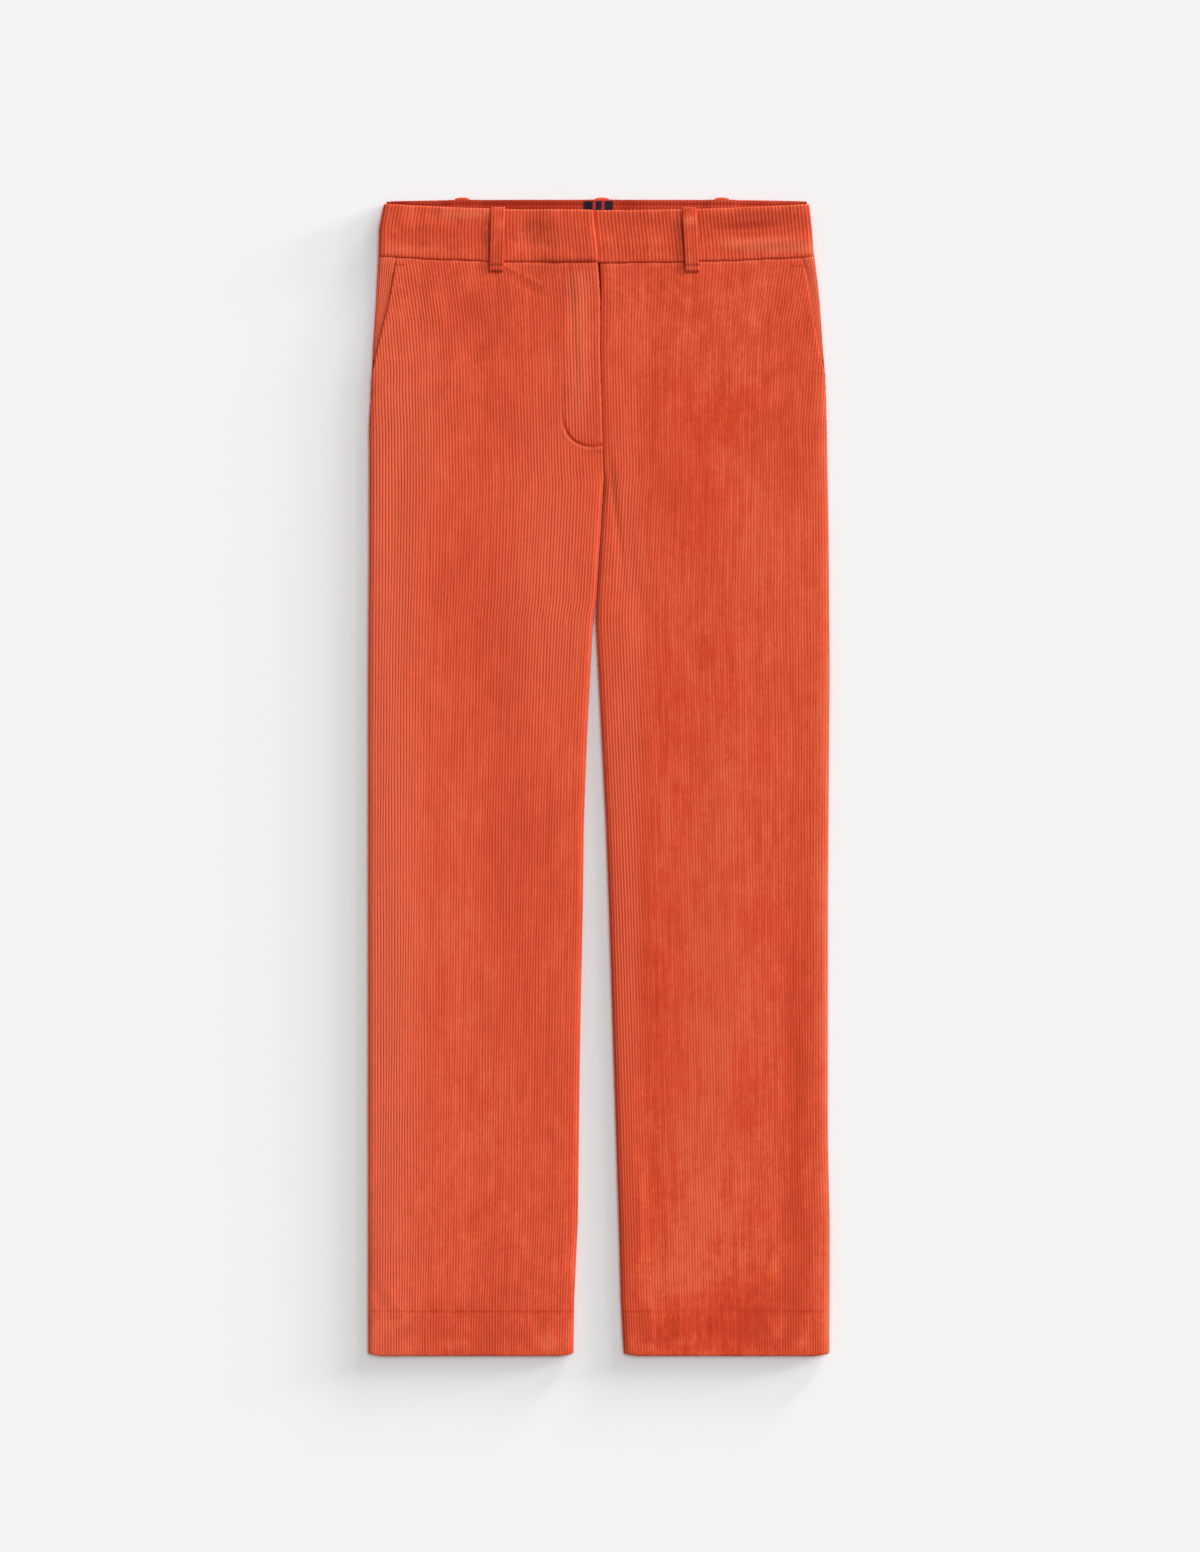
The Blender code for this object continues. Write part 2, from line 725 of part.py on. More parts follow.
# ---------------------------------------------------------------- hidden and small pieces
SHIELD_LINES = [
    # drop, left edge and right edge from the fly line
    (59, -28.0, 20.0),
    (91, -28.0, 20.0),
    (135, -28.0, 20.0),
    (180, -28.0, 20.0),
    (222, -14.0, 8.0),
]
SHIELD_Z = (1.95, 3.1)
ZIP_ROWS = [
    # drop, share of the chain's height: the slider sits on the bare top of the tape
    (60, 0.0),
    (73, 0.0),
    (73.5, 1.0),
    (135, 1.0),
    (212, 1.0),
]
ZIP_ACROSS = [
    # x from the chain's middle, 1 where the chain stands
    (-13.0, 0),
    (-2.6, 0),
    (-2.2, 1),
    (2.2, 1),
    (2.6, 0),
    (13.0, 0),
]
TAPE_Z = (3.4, 3.9)
CHAIN_RISE = 0.6
SLIDER_LINES = [
    # drop, half width, underside: the body over the tape, the pull over the chain
    (62, 4.0, 4.2),
    (72, 4.0, 4.2),
    (72.5, 2.2, 4.8),
    (86, 2.2, 4.8),
]
SLIDER_TOP_Z = 5.1
HOOK_DROP = 32.0
HOOK_IN = 15.0  # the hook's middle, in from the lap's end
HOOK_LINES = [
    # drop, half width
    (26, 5.0),
    (28, 7.0),
    (38, 7.0),
    (40, 5.0),
]
HOOK_WALL = 0.5
LABEL_DROPS = (3.6, 14.0, 36.0)
LABEL_ENDS = (-12.8, 12.2)
LABEL_COLUMNS = 8
LABEL_WALL = 0.5


def slab(name, lines, low, high, **finish):
    """A plain strip: lines are (drop, left, right) rows, low and high its two faces."""
    top = [[(left, drop, high), (right, drop, high)] for drop, left, right in lines]
    under = [[(left, drop, low), (right, drop, low)] for drop, left, right in lines]
    return make_piece(name, top, under, **finish)


def make_fly(centre):
    """The shield, the zip's tape with its chain, and its slider, one above the other."""
    lines = [(drop, centre(drop) + left, centre(drop) + right) for drop, left, right in SHIELD_LINES]
    slab("fly_shield", lines, *SHIELD_Z)

    top, under = [], []
    for drop, share in ZIP_ROWS:
        middle = centre(drop) + ZIP_SIDE
        raised = CHAIN_RISE * share
        top.append([(middle + x, drop, TAPE_Z[1] + raised * chain) for x, chain in ZIP_ACROSS])
        ends = (middle + ZIP_ACROSS[0][0], middle + ZIP_ACROSS[-1][0])
        under.append([(x, drop, TAPE_Z[0]) for x in ends])
    make_piece("fly_zip", top, under, color=(0.3, 0.03, 0.02))

    middle = centre(SLIDER_LINES[0][0]) + ZIP_SIDE
    top, under = [], []
    for drop, half, low in SLIDER_LINES:
        top.append([(middle + x, drop, SLIDER_TOP_Z) for x in (-half, half)])
        under.append([(middle + x, drop, low) for x in (-half, half)])
    make_piece("zip_slider", top, under, color=METAL, roughness=0.35, metallic=1.0)


def make_waist_hook():
    """The hook plate between the lap and the underlap."""
    middle = lap_line(HOOK_DROP) - HOOK_IN
    low = BAND_BASE_Z + BAND_WALL + PRESSED * WALE_RISE + 0.2 + 0.2
    lines = [(drop, middle - half, middle + half) for drop, half in HOOK_LINES]
    slab("waist_hook", lines, low, low + HOOK_WALL, color=METAL, roughness=0.35, metallic=1.0)


def make_label():
    """A small woven tape on the inside of the back waistband."""
    columns = spread(*LABEL_ENDS, LABEL_COLUMNS)
    over = WALE_RISE * BACK_BAND_ROWS[0][1] + SEAM_GAP
    top, under = [], []
    for drop in LABEL_DROPS:
        under.append([(x, drop, back_band_top(x) + over) for x in columns])
        top.append([(x, drop, back_band_top(x) + over + LABEL_WALL) for x in columns])
    make_piece("label_tape", top, under, color=(0.02, 0.018, 0.03))


# ---------------------------------------------------------------- the garment
def main():
    """Clears the scene, then makes the pieces from the underside up."""
    for thing in list(bpy.data.objects):
        bpy.data.objects.remove(thing)
    make_back("back_left", -1)
    make_back("back_right", 1)
    make_front("front_left", -1)
    make_front("front_right", 1)
    make_facing("pocket_facing_left", -1)
    make_facing("pocket_facing_right", 1)
    make_back_band("waistband_back")
    make_front_band("waistband_front_left", -1)
    make_front_band("waistband_front_right", 1)
    make_fly(INNERS[-1])
    make_waist_hook()
    make_label()
    for name, top_x, bottom_x in FRONT_LOOPS:
        make_front_loop(name, top_x, bottom_x)
    for name, loop_x in BACK_LOOPS:
        make_back_loop(name, loop_x)


main()
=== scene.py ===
# %% [markdown]
# # Corduroy trousers laid flat on a pale floor
# The garment lies on its back with its front up and its waist towards +Y. Each sewn piece is
# built here as its own closed wall of cloth: two legs in front, two behind, the pocket
# facings, the waistband in three parts, the belt loops, and the fly with its zip. We first
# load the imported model, which is the fixed frame every piece is fitted into.

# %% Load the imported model
import math

import bmesh
import bpy
import numpy as np
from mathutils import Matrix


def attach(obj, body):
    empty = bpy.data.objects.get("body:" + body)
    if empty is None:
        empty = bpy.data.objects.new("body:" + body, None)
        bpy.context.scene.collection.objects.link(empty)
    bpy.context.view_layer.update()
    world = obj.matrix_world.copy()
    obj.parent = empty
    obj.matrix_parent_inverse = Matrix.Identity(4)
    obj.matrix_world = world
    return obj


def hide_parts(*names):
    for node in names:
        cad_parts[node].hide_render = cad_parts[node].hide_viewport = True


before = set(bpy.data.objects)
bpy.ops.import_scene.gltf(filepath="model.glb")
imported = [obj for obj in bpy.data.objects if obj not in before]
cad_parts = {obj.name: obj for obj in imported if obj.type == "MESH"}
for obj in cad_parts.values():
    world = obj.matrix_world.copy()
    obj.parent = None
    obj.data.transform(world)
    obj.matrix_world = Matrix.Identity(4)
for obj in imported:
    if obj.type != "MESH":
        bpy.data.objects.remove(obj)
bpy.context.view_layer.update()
print("packed nodes:", len(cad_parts))

# %% [markdown]
# ## Sizes
# A pattern cutter works from a handful of sizes, and so does this file. Lengths are in
# millimetres. "drop" is the distance down the garment from its highest point at the waist,
# so the hems are at drop = LENGTH. x runs across from the centre line, and z is the height
# over the floor. Blender itself works in metres, so MM converts at the last moment.

# %% The garment's driving sizes
MM = 0.001
LENGTH = 1020.0
HALF_WAIST = 190.0
SEAM_GAP = 0.3  # air kept between pieces that are sewn together
WALL = 1.55  # thickness of the cloth
HEM_WALL = 2.8  # and where the hem is turned up
BAND_WALL = 2.3  # and of the folded waistband
WALE_RISE = 0.32
WALES_PER_LEG = 78
WALES_PER_BAND = 63
UNDERLAP = 30.0  # how far the right waistband runs on under the left one
UNDERLAP_WALES = 6
WAIST_DROP = 58.0  # the waist seam at its lowest
PANEL_TOP = 58.15
BAND_DEPTH = 47.5
FLY_END = 217.0
FORK_DROP = 248.0
HEM_START = 981.0
HEM_FOLD = LENGTH - HEM_WALL / 2  # where the hem starts to turn under
SIDE_SEAM_Z = 2.9
BAND_SEAM_Z = 3.6
FRONT_TOP_Z = 6.85
FRONT_SEAM_Z = SIDE_SEAM_Z + SEAM_GAP / 2
BACK_SEAM_Z = SIDE_SEAM_Z - SEAM_GAP / 2
CROWN = 0.7  # how much lower a panel stands next to its rounded edge
CROWN_REACH = 26.0
EDGE_REACH = 5.5  # the rounded edge itself
BACK_EDGE_REACH = 4.2
ARC_SHARE = 1.24  # length of the cloth round an edge, against its width seen from above
print("length", LENGTH, "mm, waist", 2 * HALF_WAIST, "mm")

# %% [markdown]
# ## The outline as short tables
# The side seams, the inseams, the pocket mouths and the run of the wales are read from a few
# rows each, straight between them. `column` turns one column of such a table into a function.

# %% Outline tables
SIDE_SEAMS = [
    # drop, left, right: distance from the centre line
    (4, 189.0, 185.0), (28, 193.5, 187.5), (55, 194.2, 189.5), (92, 196.2, 194.5),
    (130, 198.8, 197.1), (160, 200.2, 199.5), (200, 202.4, 200.6), (300, 202.5, 202.4),
    (420, 203.3, 203.3), (620, 203.3, 201.7), (830, 203.3, 201.6), (900, 203.3, 203.3),
    (LENGTH, 203.3, 203.0),
]
INNER_EDGES = [
    # drop, x of the left panel's inner edge, x of the right panel's
    (57, -1.3, 0.3), (70, -0.1, 1.1), (91, 1.1, 1.7), (110, 1.2, 1.4), (135, 1.0, 1.2),
    (217, 3.4, 3.6), (248, 4.35, 4.6), (300, 1.3, 1.7), (355, -2.3, -1.9), (373, -5.0, -2.6),
    (408, -7.0, -0.9), (478, -10.6, 2.6), (549, -13.2, 6.2), (619, -14.1, 8.8),
    (760, -16.9, 13.2), (901, -18.5, 17.6), (971, -21.8, 19.4), (LENGTH, -22.4, 22.0),
]
WALE_FAN = [
    # drop, left, right: where the outermost wale would run if no side seam cut it
    (53, 219.0, 224.4), (65, 216.5, 221.8), (109, 208.0, 211.0), (153, 204.2, 206.0),
    (205, 202.4, 200.6),
]
POCKET_MOUTHS = [
    # drop, left, right
    (53, 176.9, 177.1), (72, 180.8, 182.7), (96, 185.7, 187.3), (115, 190.9, 190.1),
    (141, 196.9, 195.3), (158, 200.0, 199.5),
]
MOUTH_END = POCKET_MOUTHS[-1][0]


def column(table, index):
    """A function of drop read from one column of a table."""
    drops = [row[0] for row in table]
    values = [row[index] for row in table]
    return lambda drop: np.interp(drop, drops, values)


def both_sides(table):
    """The left side (-1) and the right side (1) of a table, each a function of drop."""
    return {-1: column(table, 1), 1: column(table, 2)}


SIDES, INNERS, FANS, MOUTHS = map(both_sides, (SIDE_SEAMS, INNER_EDGES, WALE_FAN, POCKET_MOUTHS))
print("hem", round(float(SIDES[1](LENGTH) - INNERS[1](LENGTH)), 1), "mm across")

# %% [markdown]
# ## Curves that cloth follows
# Cloth never turns a corner sharply. `smooth` is a soft step, `bell` a soft bump, and
# `rounded` the quarter circle over which a panel rolls down to its seam. numpy lets one call
# work on a whole grid of points.

# %% Soft steps and bumps
def smooth(t):
    t = np.clip(t, 0.0, 1.0)
    return t * t * (3 - 2 * t)


def bell(distance, reach):
    """1 at distance 0, fading softly to 0 over about twice the reach."""
    return np.exp(-((distance / reach) ** 2))


def rounded(u):
    """Share of its rise that a rounded edge still lacks, u of the way in from that edge."""
    u = np.clip(u, 0.0, 1.0)
    return 1 - np.sqrt(1 - (1 - u) ** 2)


def between(start, end, share):
    return start + (end - start) * share


print("a soft step a quarter, half and all the way:", smooth(0.25), smooth(0.5), smooth(1.0))

# %% [markdown]
# A panel has two edges, and most of what happens to cloth happens near one of them. `edges`
# is always the x of the left and the right edge, and `turns` says how far each edge is
# rolled down, 0 to 1. The left and right halves of the garment mirror each other, so
# `in_order` puts a half's outer and inner values into their order from left to right.

# %% Edges and seams
def in_order(side, outer, inner):
    return (outer, inner) if side < 0 else (inner, outer)


def edge_distances(x, edges):
    return x - edges[0], edges[1] - x


def nearest_edge(x, edges):
    return np.minimum(*edge_distances(x, edges))


def soft_ends(x, edges, start=0.0):
    """0 near both edges, 1 further in."""
    left, right = edge_distances(x, edges)
    return smooth((left - start) / 6) * smooth((right - start) / 6)


def waist_seam(x):
    """Drop of the waist seam, which dips at the centre and is never ruler straight."""
    uneven = 0.18 * np.sin(x / 8.3) + 0.12 * np.sin(x / 3.1 + 1)
    return WAIST_DROP - 5.3 * (x / HALF_WAIST) ** 2 + uneven


def band_top_edge(x):
    return 12.0 - 5.8 * (x / HALF_WAIST) ** 2


def waist_drop(x, drop):
    """The true drop near the waist, whose seam dips at the centre."""
    return drop + (waist_seam(x) - WAIST_DROP) * smooth((100 - drop) / 40)


def shaped_drop(x, drop, edges):
    """The true drop in a leg, whose hem corners ride up a little."""
    lift = 1.5 * (1 - smooth(nearest_edge(x, edges) / 14))
    return waist_drop(x, drop) - lift * smooth((drop - LENGTH) / 25 + 1)


def side_turn(drop):
    return smooth((drop - MOUTH_END + 12) / 30)


def inner_turn(drop):
    return smooth((drop - FORK_DROP + 12) / 24)


def front_edges(side, drop):
    """The edges of a front panel, cut away along the pocket mouth, and its turns."""
    cut = np.where(drop < MOUTH_END, MOUTHS[side](drop), SIDES[side](drop))
    outer = side * np.minimum(cut, SIDES[side](drop))
    edges = in_order(side, outer, INNERS[side](drop))
    return edges, in_order(side, side_turn(drop), inner_turn(drop))


print("waist seam: drop", round(float(waist_seam(0.0)), 1), "at the centre")

# %% [markdown]
# ## Folds and drag lines
# Worn or hung trousers keep soft troughs and ridges. Cloth simulation would give folds of its
# own choosing, so the main ones are listed instead: each row is a line on the front with a
# width and a height, faded at both ends. They differ in length, depth and spacing.

# %% Soft forms of the front
FOLDS = [
    # x start, drop start, x end, drop end, width, height
    (10, 262, 40, 380, 12, -0.95), (32, 690, 52, 975, 13, -0.75),
    (-192, 300, -176, 700, 10, 0.4), (-150, 520, -165, 930, 16, -0.6),
    (-60, 330, -78, 760, 20, 0.5), (120, 360, 104, 830, 24, 0.5),
    (168, 640, 160, 985, 14, -0.6), (-112, 700, -104, 990, 12, -0.5),
    (-66, 66, -40, 150, 10, -0.5), (58, 70, 30, 190, 12, -0.5),
]
FINE_FORMS = [
    # x start, drop start, x end, drop end, width, height
    (-84, 61, -46, 80, 3.2, 0.5), (-80, 70, -42, 92, 4.5, -0.3),
    (8, 88, 70, 73, 3.5, 0.6), (10, 96, 74, 82, 5.0, -0.5),
    (-26, 62, -21, 150, 2.8, -0.35), (-19, 64, -14, 166, 3.4, 0.28),
    (-33, 66, -34, 150, 4.0, 0.2), (8, 225, 17, 300, 2.6, -0.45),
    (14, 222, 25, 330, 3.0, 0.35), (36, 860, 37, 930, 2.2, 0.35),
    (-150, 84, -120, 170, 14, 0.35), (-120, 100, -96, 240, 16, -0.35),
    (96, 90, 140, 200, 14, 0.35), (150, 96, 120, 260, 12, -0.3),
    (-170, 200, -188, 330, 7, -0.3), (-90, 420, -120, 640, 12, -0.25),
    (-40, 520, -34, 900, 9, 0.25), (76, 480, 90, 660, 10, -0.25),
    (146, 300, 160, 520, 9, 0.2), (180, 420, 176, 600, 8, 0.2),
    (-198, 960, -178, 1000, 4.5, -0.25), (-190, 955, -168, 990, 5.0, 0.35),
    (-60, 984, -48, 1012, 6.0, -0.3), (-128, 990, -120, 1014, 5.0, 0.25),
    (60, 986, 66, 1014, 6.0, -0.3), (150, 990, 158, 1015, 5.0, 0.25),
]
DOWN_FADE = 0.3  # how far a line fades past its ends, as a share of its length


def soft_forms(across, along, table, fade):
    """Height that a table of soft lines adds. A line runs `along`, and its width is `across`."""
    total = 0 * (across + along)
    for across_0, along_0, across_1, along_1, width, height in table:
        run = (along - along_0) / (along_1 - along_0)
        shown = smooth((run + fade) / 0.5) * smooth((1 + fade - run) / 0.5)
        total = total + height * shown * bell(across - between(across_0, across_1, run), width)
    return total


print("soft forms on the front:", len(FOLDS) + len(FINE_FORMS))

# %% [markdown]
# ## The height of a panel
# A leg panel is a nearly flat sheet that rolls down to its seams over a few millimetres. The
# same function gives the face and, one wall lower, the plain inside of the cloth. Sewing
# presses narrow channels into the pile: along the fly, at the waist seam and at the hem.

# %% Heights of the front panels
def walled(x, flat, edges, turns, seam_z, reach, wall=0.0):
    """One face of a panel whose edges round down from `flat` to the seam."""
    lost = 0.0
    for away, turn in zip(edge_distances(x, edges), turns):
        lost = lost + turn * (flat - seam_z) * rounded((away - turn * wall) / (reach - wall))
    return flat - lost


def fly_climb(x):
    """0 to 1: where the left waistband climbs over the end of the right one."""
    return smooth((x + 66) / 30)


def front_face(side, x, drop, wall=0.0):
    """Height of a front panel's face, or of its inside when a wall is given."""
    edges, turns = front_edges(side, drop)
    flat = FRONT_TOP_Z - wall + soft_forms(x, drop, FOLDS, DOWN_FADE) * smooth((drop - 62) / 40)
    for away, turn in zip(edge_distances(x, edges), turns):
        flat = flat - CROWN * turn * rounded(away / CROWN_REACH) ** 2
    if side < 0:
        flat = flat + 2.0 * fly_climb(x) * (1 - smooth((drop - WAIST_DROP) / 34))
    inset = WALL if np.any(np.asarray(wall) > 0) else 0.0
    return walled(x, flat, edges, turns, FRONT_SEAM_Z, EDGE_REACH, inset)


def hem_wall(drop):
    return between(WALL, HEM_WALL, smooth((drop - HEM_START) / 2))


print("front, mid thigh:", round(float(front_face(1, np.array(100.0), np.array(500.0))), 2), "mm high")

# %% The stitched line of the fly
FLY_CURVE = [
    # x, drop
    (-32.4, 62), (-32.2, 170), (-31.8, 192), (-30.9, 199), (-29.2, 205.5), (-26.4, 210.5),
    (-22.6, 214.3), (-17.8, 217.2), (-12.4, 219.0), (-6.6, 219.7), (-2.0, 219.5), (2.0, 218.9),
]
FLY_FALLING = FLY_CURVE[:10]  # as far as the line's lowest point


def fly_line(drop):
    """x of the line: straight down, then curving in to the fly edge."""
    return np.interp(drop, [row[1] for row in FLY_FALLING], [row[0] for row in FLY_FALLING])


def fly_distance(x, drop):
    """Shortest distance from each point to the line."""
    nearest = np.full(np.broadcast(x, drop).shape, 1e3)
    for (x0, d0), (x1, d1) in zip(FLY_CURVE[:-1], FLY_CURVE[1:]):
        run, fall = x1 - x0, d1 - d0
        along = np.clip(((x - x0) * run + (drop - d0) * fall) / (run ** 2 + fall ** 2), 0, 1)
        nearest = np.minimum(nearest, np.hypot(x - x0 - run * along, drop - d0 - fall * along))
    return nearest


def fly_channel(x, drop):
    """1 in the line, 0 away from it. The line shows in its lower curve."""
    return smooth((drop - 184) / 24) * bell(fly_distance(x, drop), 1.0)


print("fly line ends at drop", FLY_CURVE[-1][1])

# %% [markdown]
# ## Walls of cloth
# Every cloth piece is a closed wall: a dense grid for the face, a sparse one for the inside,
# and triangles around the rim. Points that fall together, as where a pocket mouth cuts the
# wales, are merged before the faces are turned outwards. Each point also keeps its place
# across the wales ("wale"), how much of the wale's height stands there ("rise"), and how the
# pile lies together with painted shade and painted highlight ("nap_and_shade"), for the
# Geometry Nodes and the material to read.

# %% Grids and meshes
def as_grid(x, drop, z):
    return np.stack(np.broadcast_arrays(x, drop, z), -1)


def grid_faces(rows, columns, start=0):
    number = start + np.arange(rows * columns).reshape(rows, columns)
    a, b, c, d = number[:-1, :-1], number[1:, :-1], number[1:, 1:], number[:-1, 1:]
    faces = np.concatenate([np.stack([a, b, c], -1), np.stack([a, c, d], -1)])
    return faces.reshape(-1, 3), number


def in_metres(points):
    """Blender's own coordinates for points of (x, drop, z)."""
    x, drop, z = np.asarray(points, float).T
    return (np.stack([x, LENGTH / 2 - drop, z], -1) * MM).tolist()


def closed_mesh(name, points, faces, sharp, bevel=0.0):
    """A mesh whose faces all point outwards, with edges over `sharp` degrees kept sharp."""
    mesh = bpy.data.meshes.new(name)
    mesh.from_pydata(in_metres(points), [], faces)
    shape = bmesh.new()
    shape.from_mesh(mesh)
    if bevel:
        bmesh.ops.bevel(shape, geom=shape.edges[:], offset=bevel * MM, segments=2, affect="EDGES")
    bmesh.ops.recalc_face_normals(shape, faces=shape.faces)
    shape.to_mesh(mesh)
    shape.free()
    mesh.shade_smooth()
    mesh.set_sharp_from_angle(angle=math.radians(sharp))
    return mesh


def merged_mesh(name, points, faces, facts):
    """A closed mesh of merged points; facts are values kept on each point."""
    _, first, place = np.unique(np.round(points, 3), axis=0, return_index=True, return_inverse=True)
    faces = place.reshape(-1)[faces]
    a, b, c = faces.T
    whole = (a != b) & (b != c) & (a != c)
    mesh = closed_mesh(name, points[first], faces[whole].tolist(), 50)
    for fact, values in facts.items():
        layer = mesh.attributes.new(fact, "FLOAT", "POINT")
        layer.data.foreach_set("value", np.ascontiguousarray(values[first], dtype=np.float32))
    return mesh


print("a small grid of 3 by 4 points:", len(grid_faces(3, 4)[0]), "triangles")


# %% Build a wall from two grids
FACTS = ("wale", "rise", "nap_and_shade")


def along_line(points):
    steps = np.hypot(*np.diff(points[:, :2], axis=0).T)
    return np.concatenate([[0.0], np.cumsum(steps) / max(steps.sum(), 1e-9)])


def zip_rims(first, second, points):
    """Triangles between two lines of point numbers."""
    here, there = along_line(points[first]), along_line(points[second])
    i = j = 0
    faces = []
    while i < len(first) - 1 or j < len(second) - 1:
        if j == len(second) - 1 or (i < len(first) - 1 and here[i + 1] <= there[j + 1]):
            faces.append((first[i], first[i + 1], second[j]))
            i += 1
        else:
            faces.append((first[i], second[j + 1], second[j]))
            j += 1
    return np.array(faces)


def borders(number):
    return number[0], number[-1], number[:, 0], number[:, -1]


def wall(name, face, inside, wale, rise, nap_and_shade, within=(0, 0, 0)):
    """A closed wall between a face grid and an inside grid, each of (x, drop, z) points.
    `within` holds the inside grid's own wale, rise, and nap with painted shade and highlight."""
    first, number = grid_faces(*face.shape[:2])
    second, other = grid_faces(*inside.shape[:2], start=number.size)
    points = np.concatenate([face.reshape(-1, 3), inside.reshape(-1, 3)])
    rims = [zip_rims(a, b, points) for a, b in zip(borders(number), borders(other))]
    facts = {}
    for fact, values, rest in zip(FACTS, (wale, rise, nap_and_shade), within):
        grids = ((values, face), (rest, inside))
        facts[fact] = np.concatenate([np.broadcast_to(v, g.shape[:2]).reshape(-1) for v, g in grids])
    return merged_mesh(name, points, np.concatenate([first, second, *rims]), facts)


print("facts kept on each point:", *FACTS)

# %% [markdown]
# ## Where the wales run
# Corduroy has cords of cut pile, called wales, with a bare groove between them. A wale follows
# one column of the grid. Five columns a wale are enough to carry its round top, and where a
# panel rolls over its edge the wales keep their spacing along the cloth, not along x.

# %% Columns and rows of a grid
WITHIN_WALE = (0.0, 0.16, 0.38, 0.62, 0.84)


def wale_columns(count, within=WITHIN_WALE):
    return np.array([w + part for w in range(count) for part in within] + [count], float)


def lay_wales(edges, turns, wales, count):
    """x of each wale column between two edges, evenly along the cloth."""
    arc = EDGE_REACH * ARC_SHARE
    spare = arc - EDGE_REACH
    length = edges[1] - edges[0] + spare * (turns[0] + turns[1])
    along = length * wales / count
    rest = length - along
    bent, bent_rest = (
        EDGE_REACH * (np.clip(way, 0, arc) / arc) ** ARC_SHARE for way in (along, rest)
    )
    x = edges[0] + along - spare * turns[0]
    x = np.where(along < arc, edges[0] + along + (bent - along) * turns[0], x)
    return np.where(rest < arc, edges[1] - rest - (bent_rest - rest) * turns[1], x)


def crowded(count, pull):
    """Shares from 0 to 1 that crowd towards both ends."""
    share = np.linspace(0, 1, count)
    return share - pull * np.sin(2 * math.pi * share) / (2 * math.pi)


def inside_columns(edges, turns, share, wall):
    """x of an inside grid's columns, a wall's thickness in from each rounded edge."""
    left, right = edges[0] + wall * turns[0], edges[1] - wall * turns[1]
    return between(left, right, share)


def rows_of(start, *stretches):
    """Drops from `start` on through (until, step) stretches."""
    drops = [start]
    for until, step in stretches:
        count = max(1, round((until - drops[-1]) / step))
        drops += list(np.linspace(drops[-1], until, count + 1)[1:])
    return np.array(drops)[:, None]


LEG_ROWS = rows_of(
    PANEL_TOP, (64, 0.75), (160, 3.0), (184, 2.4), (224, 1.5), (300, 4.0), (960, 5.6),
    (979, 2.6), (984, 0.8), (1012, 3.5), (HEM_FOLD, 1.6),
)
print("rows down a leg:", len(LEG_ROWS), " columns across it:", len(wale_columns(WALES_PER_LEG)))

# %% [markdown]
# ## Raising the wales with Geometry Nodes
# Modelling 78 wales a leg by hand would be slow, and a bump in the material would not show in
# the outline. A small Geometry Nodes tree does it: it reads each point's place across the
# wales, takes the fraction, turns that into a round-topped profile and moves the point out
# along its normal. It stores the profile as "crest" and the cloth's own smooth direction as
# "lay", and the material reads both.

# %% Helpers for node trees
def fill(tree, node, inputs):
    """Links or sets a node's inputs, given by name or number."""
    for name, value in dict(inputs).items():
        if isinstance(value, bpy.types.NodeSocket):
            tree.links.new(value, node.inputs[name])
        else:
            node.inputs[name].default_value = value
    return node


def add(tree, kind, inputs=(), **settings):
    """A new node with its settings and its inputs."""
    node = tree.nodes.new(kind)
    for name, value in settings.items():
        setattr(node, name, value)
    return fill(tree, node, inputs)


def maths(tree, operation, *values):
    return add(tree, "ShaderNodeMath", dict(enumerate(values)), operation=operation).outputs[0]


def scaled(tree, vector, by):
    return add(tree, "ShaderNodeVectorMath", {0: vector, "Scale": by}, operation="SCALE").outputs[0]


def either_side(tree, value, amount):
    """A value from 0 to 1 turned into a shift either side of zero."""
    return maths(tree, "MULTIPLY", maths(tree, "SUBTRACT", value, 0.5), amount)


def new_tree(name, inputs):
    """A geometry tree with named inputs, its given values and its output node."""
    tree = bpy.data.node_groups.new(name, "GeometryNodeTree")
    tree.interface.new_socket("Geometry", in_out="INPUT", socket_type="NodeSocketGeometry")
    for socket, (kind, value) in inputs.items():
        made = tree.interface.new_socket(socket, in_out="INPUT", socket_type="NodeSocket" + kind)
        if value is not None:
            made.default_value = value
    tree.interface.new_socket("Geometry", in_out="OUTPUT", socket_type="NodeSocketGeometry")
    return tree, tree.nodes.new("NodeGroupInput").outputs, tree.nodes.new("NodeGroupOutput")


def end_tree(tree, given, out, geometry):
    """Realize Instances, then Set Material."""
    real = add(tree, "GeometryNodeRealizeInstances", {0: geometry}).outputs[0]
    inputs = {"Geometry": real, "Material": given["Material"]}
    fill(tree, out, {0: add(tree, "GeometryNodeSetMaterial", inputs).outputs[0]})
    print(tree.name, "has", len(tree.nodes), "nodes")
    return tree


# %% The tree that raises the wales
def point_fact(tree, name):
    node = add(tree, "GeometryNodeInputNamedAttribute", {"Name": name}, data_type="FLOAT")
    return node.outputs["Attribute"]


def keep_fact(tree, geometry, name, value, kind="FLOAT"):
    inputs = {"Geometry": geometry, "Name": name, "Value": value}
    node = add(tree, "GeometryNodeStoreNamedAttribute", inputs, data_type=kind, domain="POINT")
    return node.outputs[0]


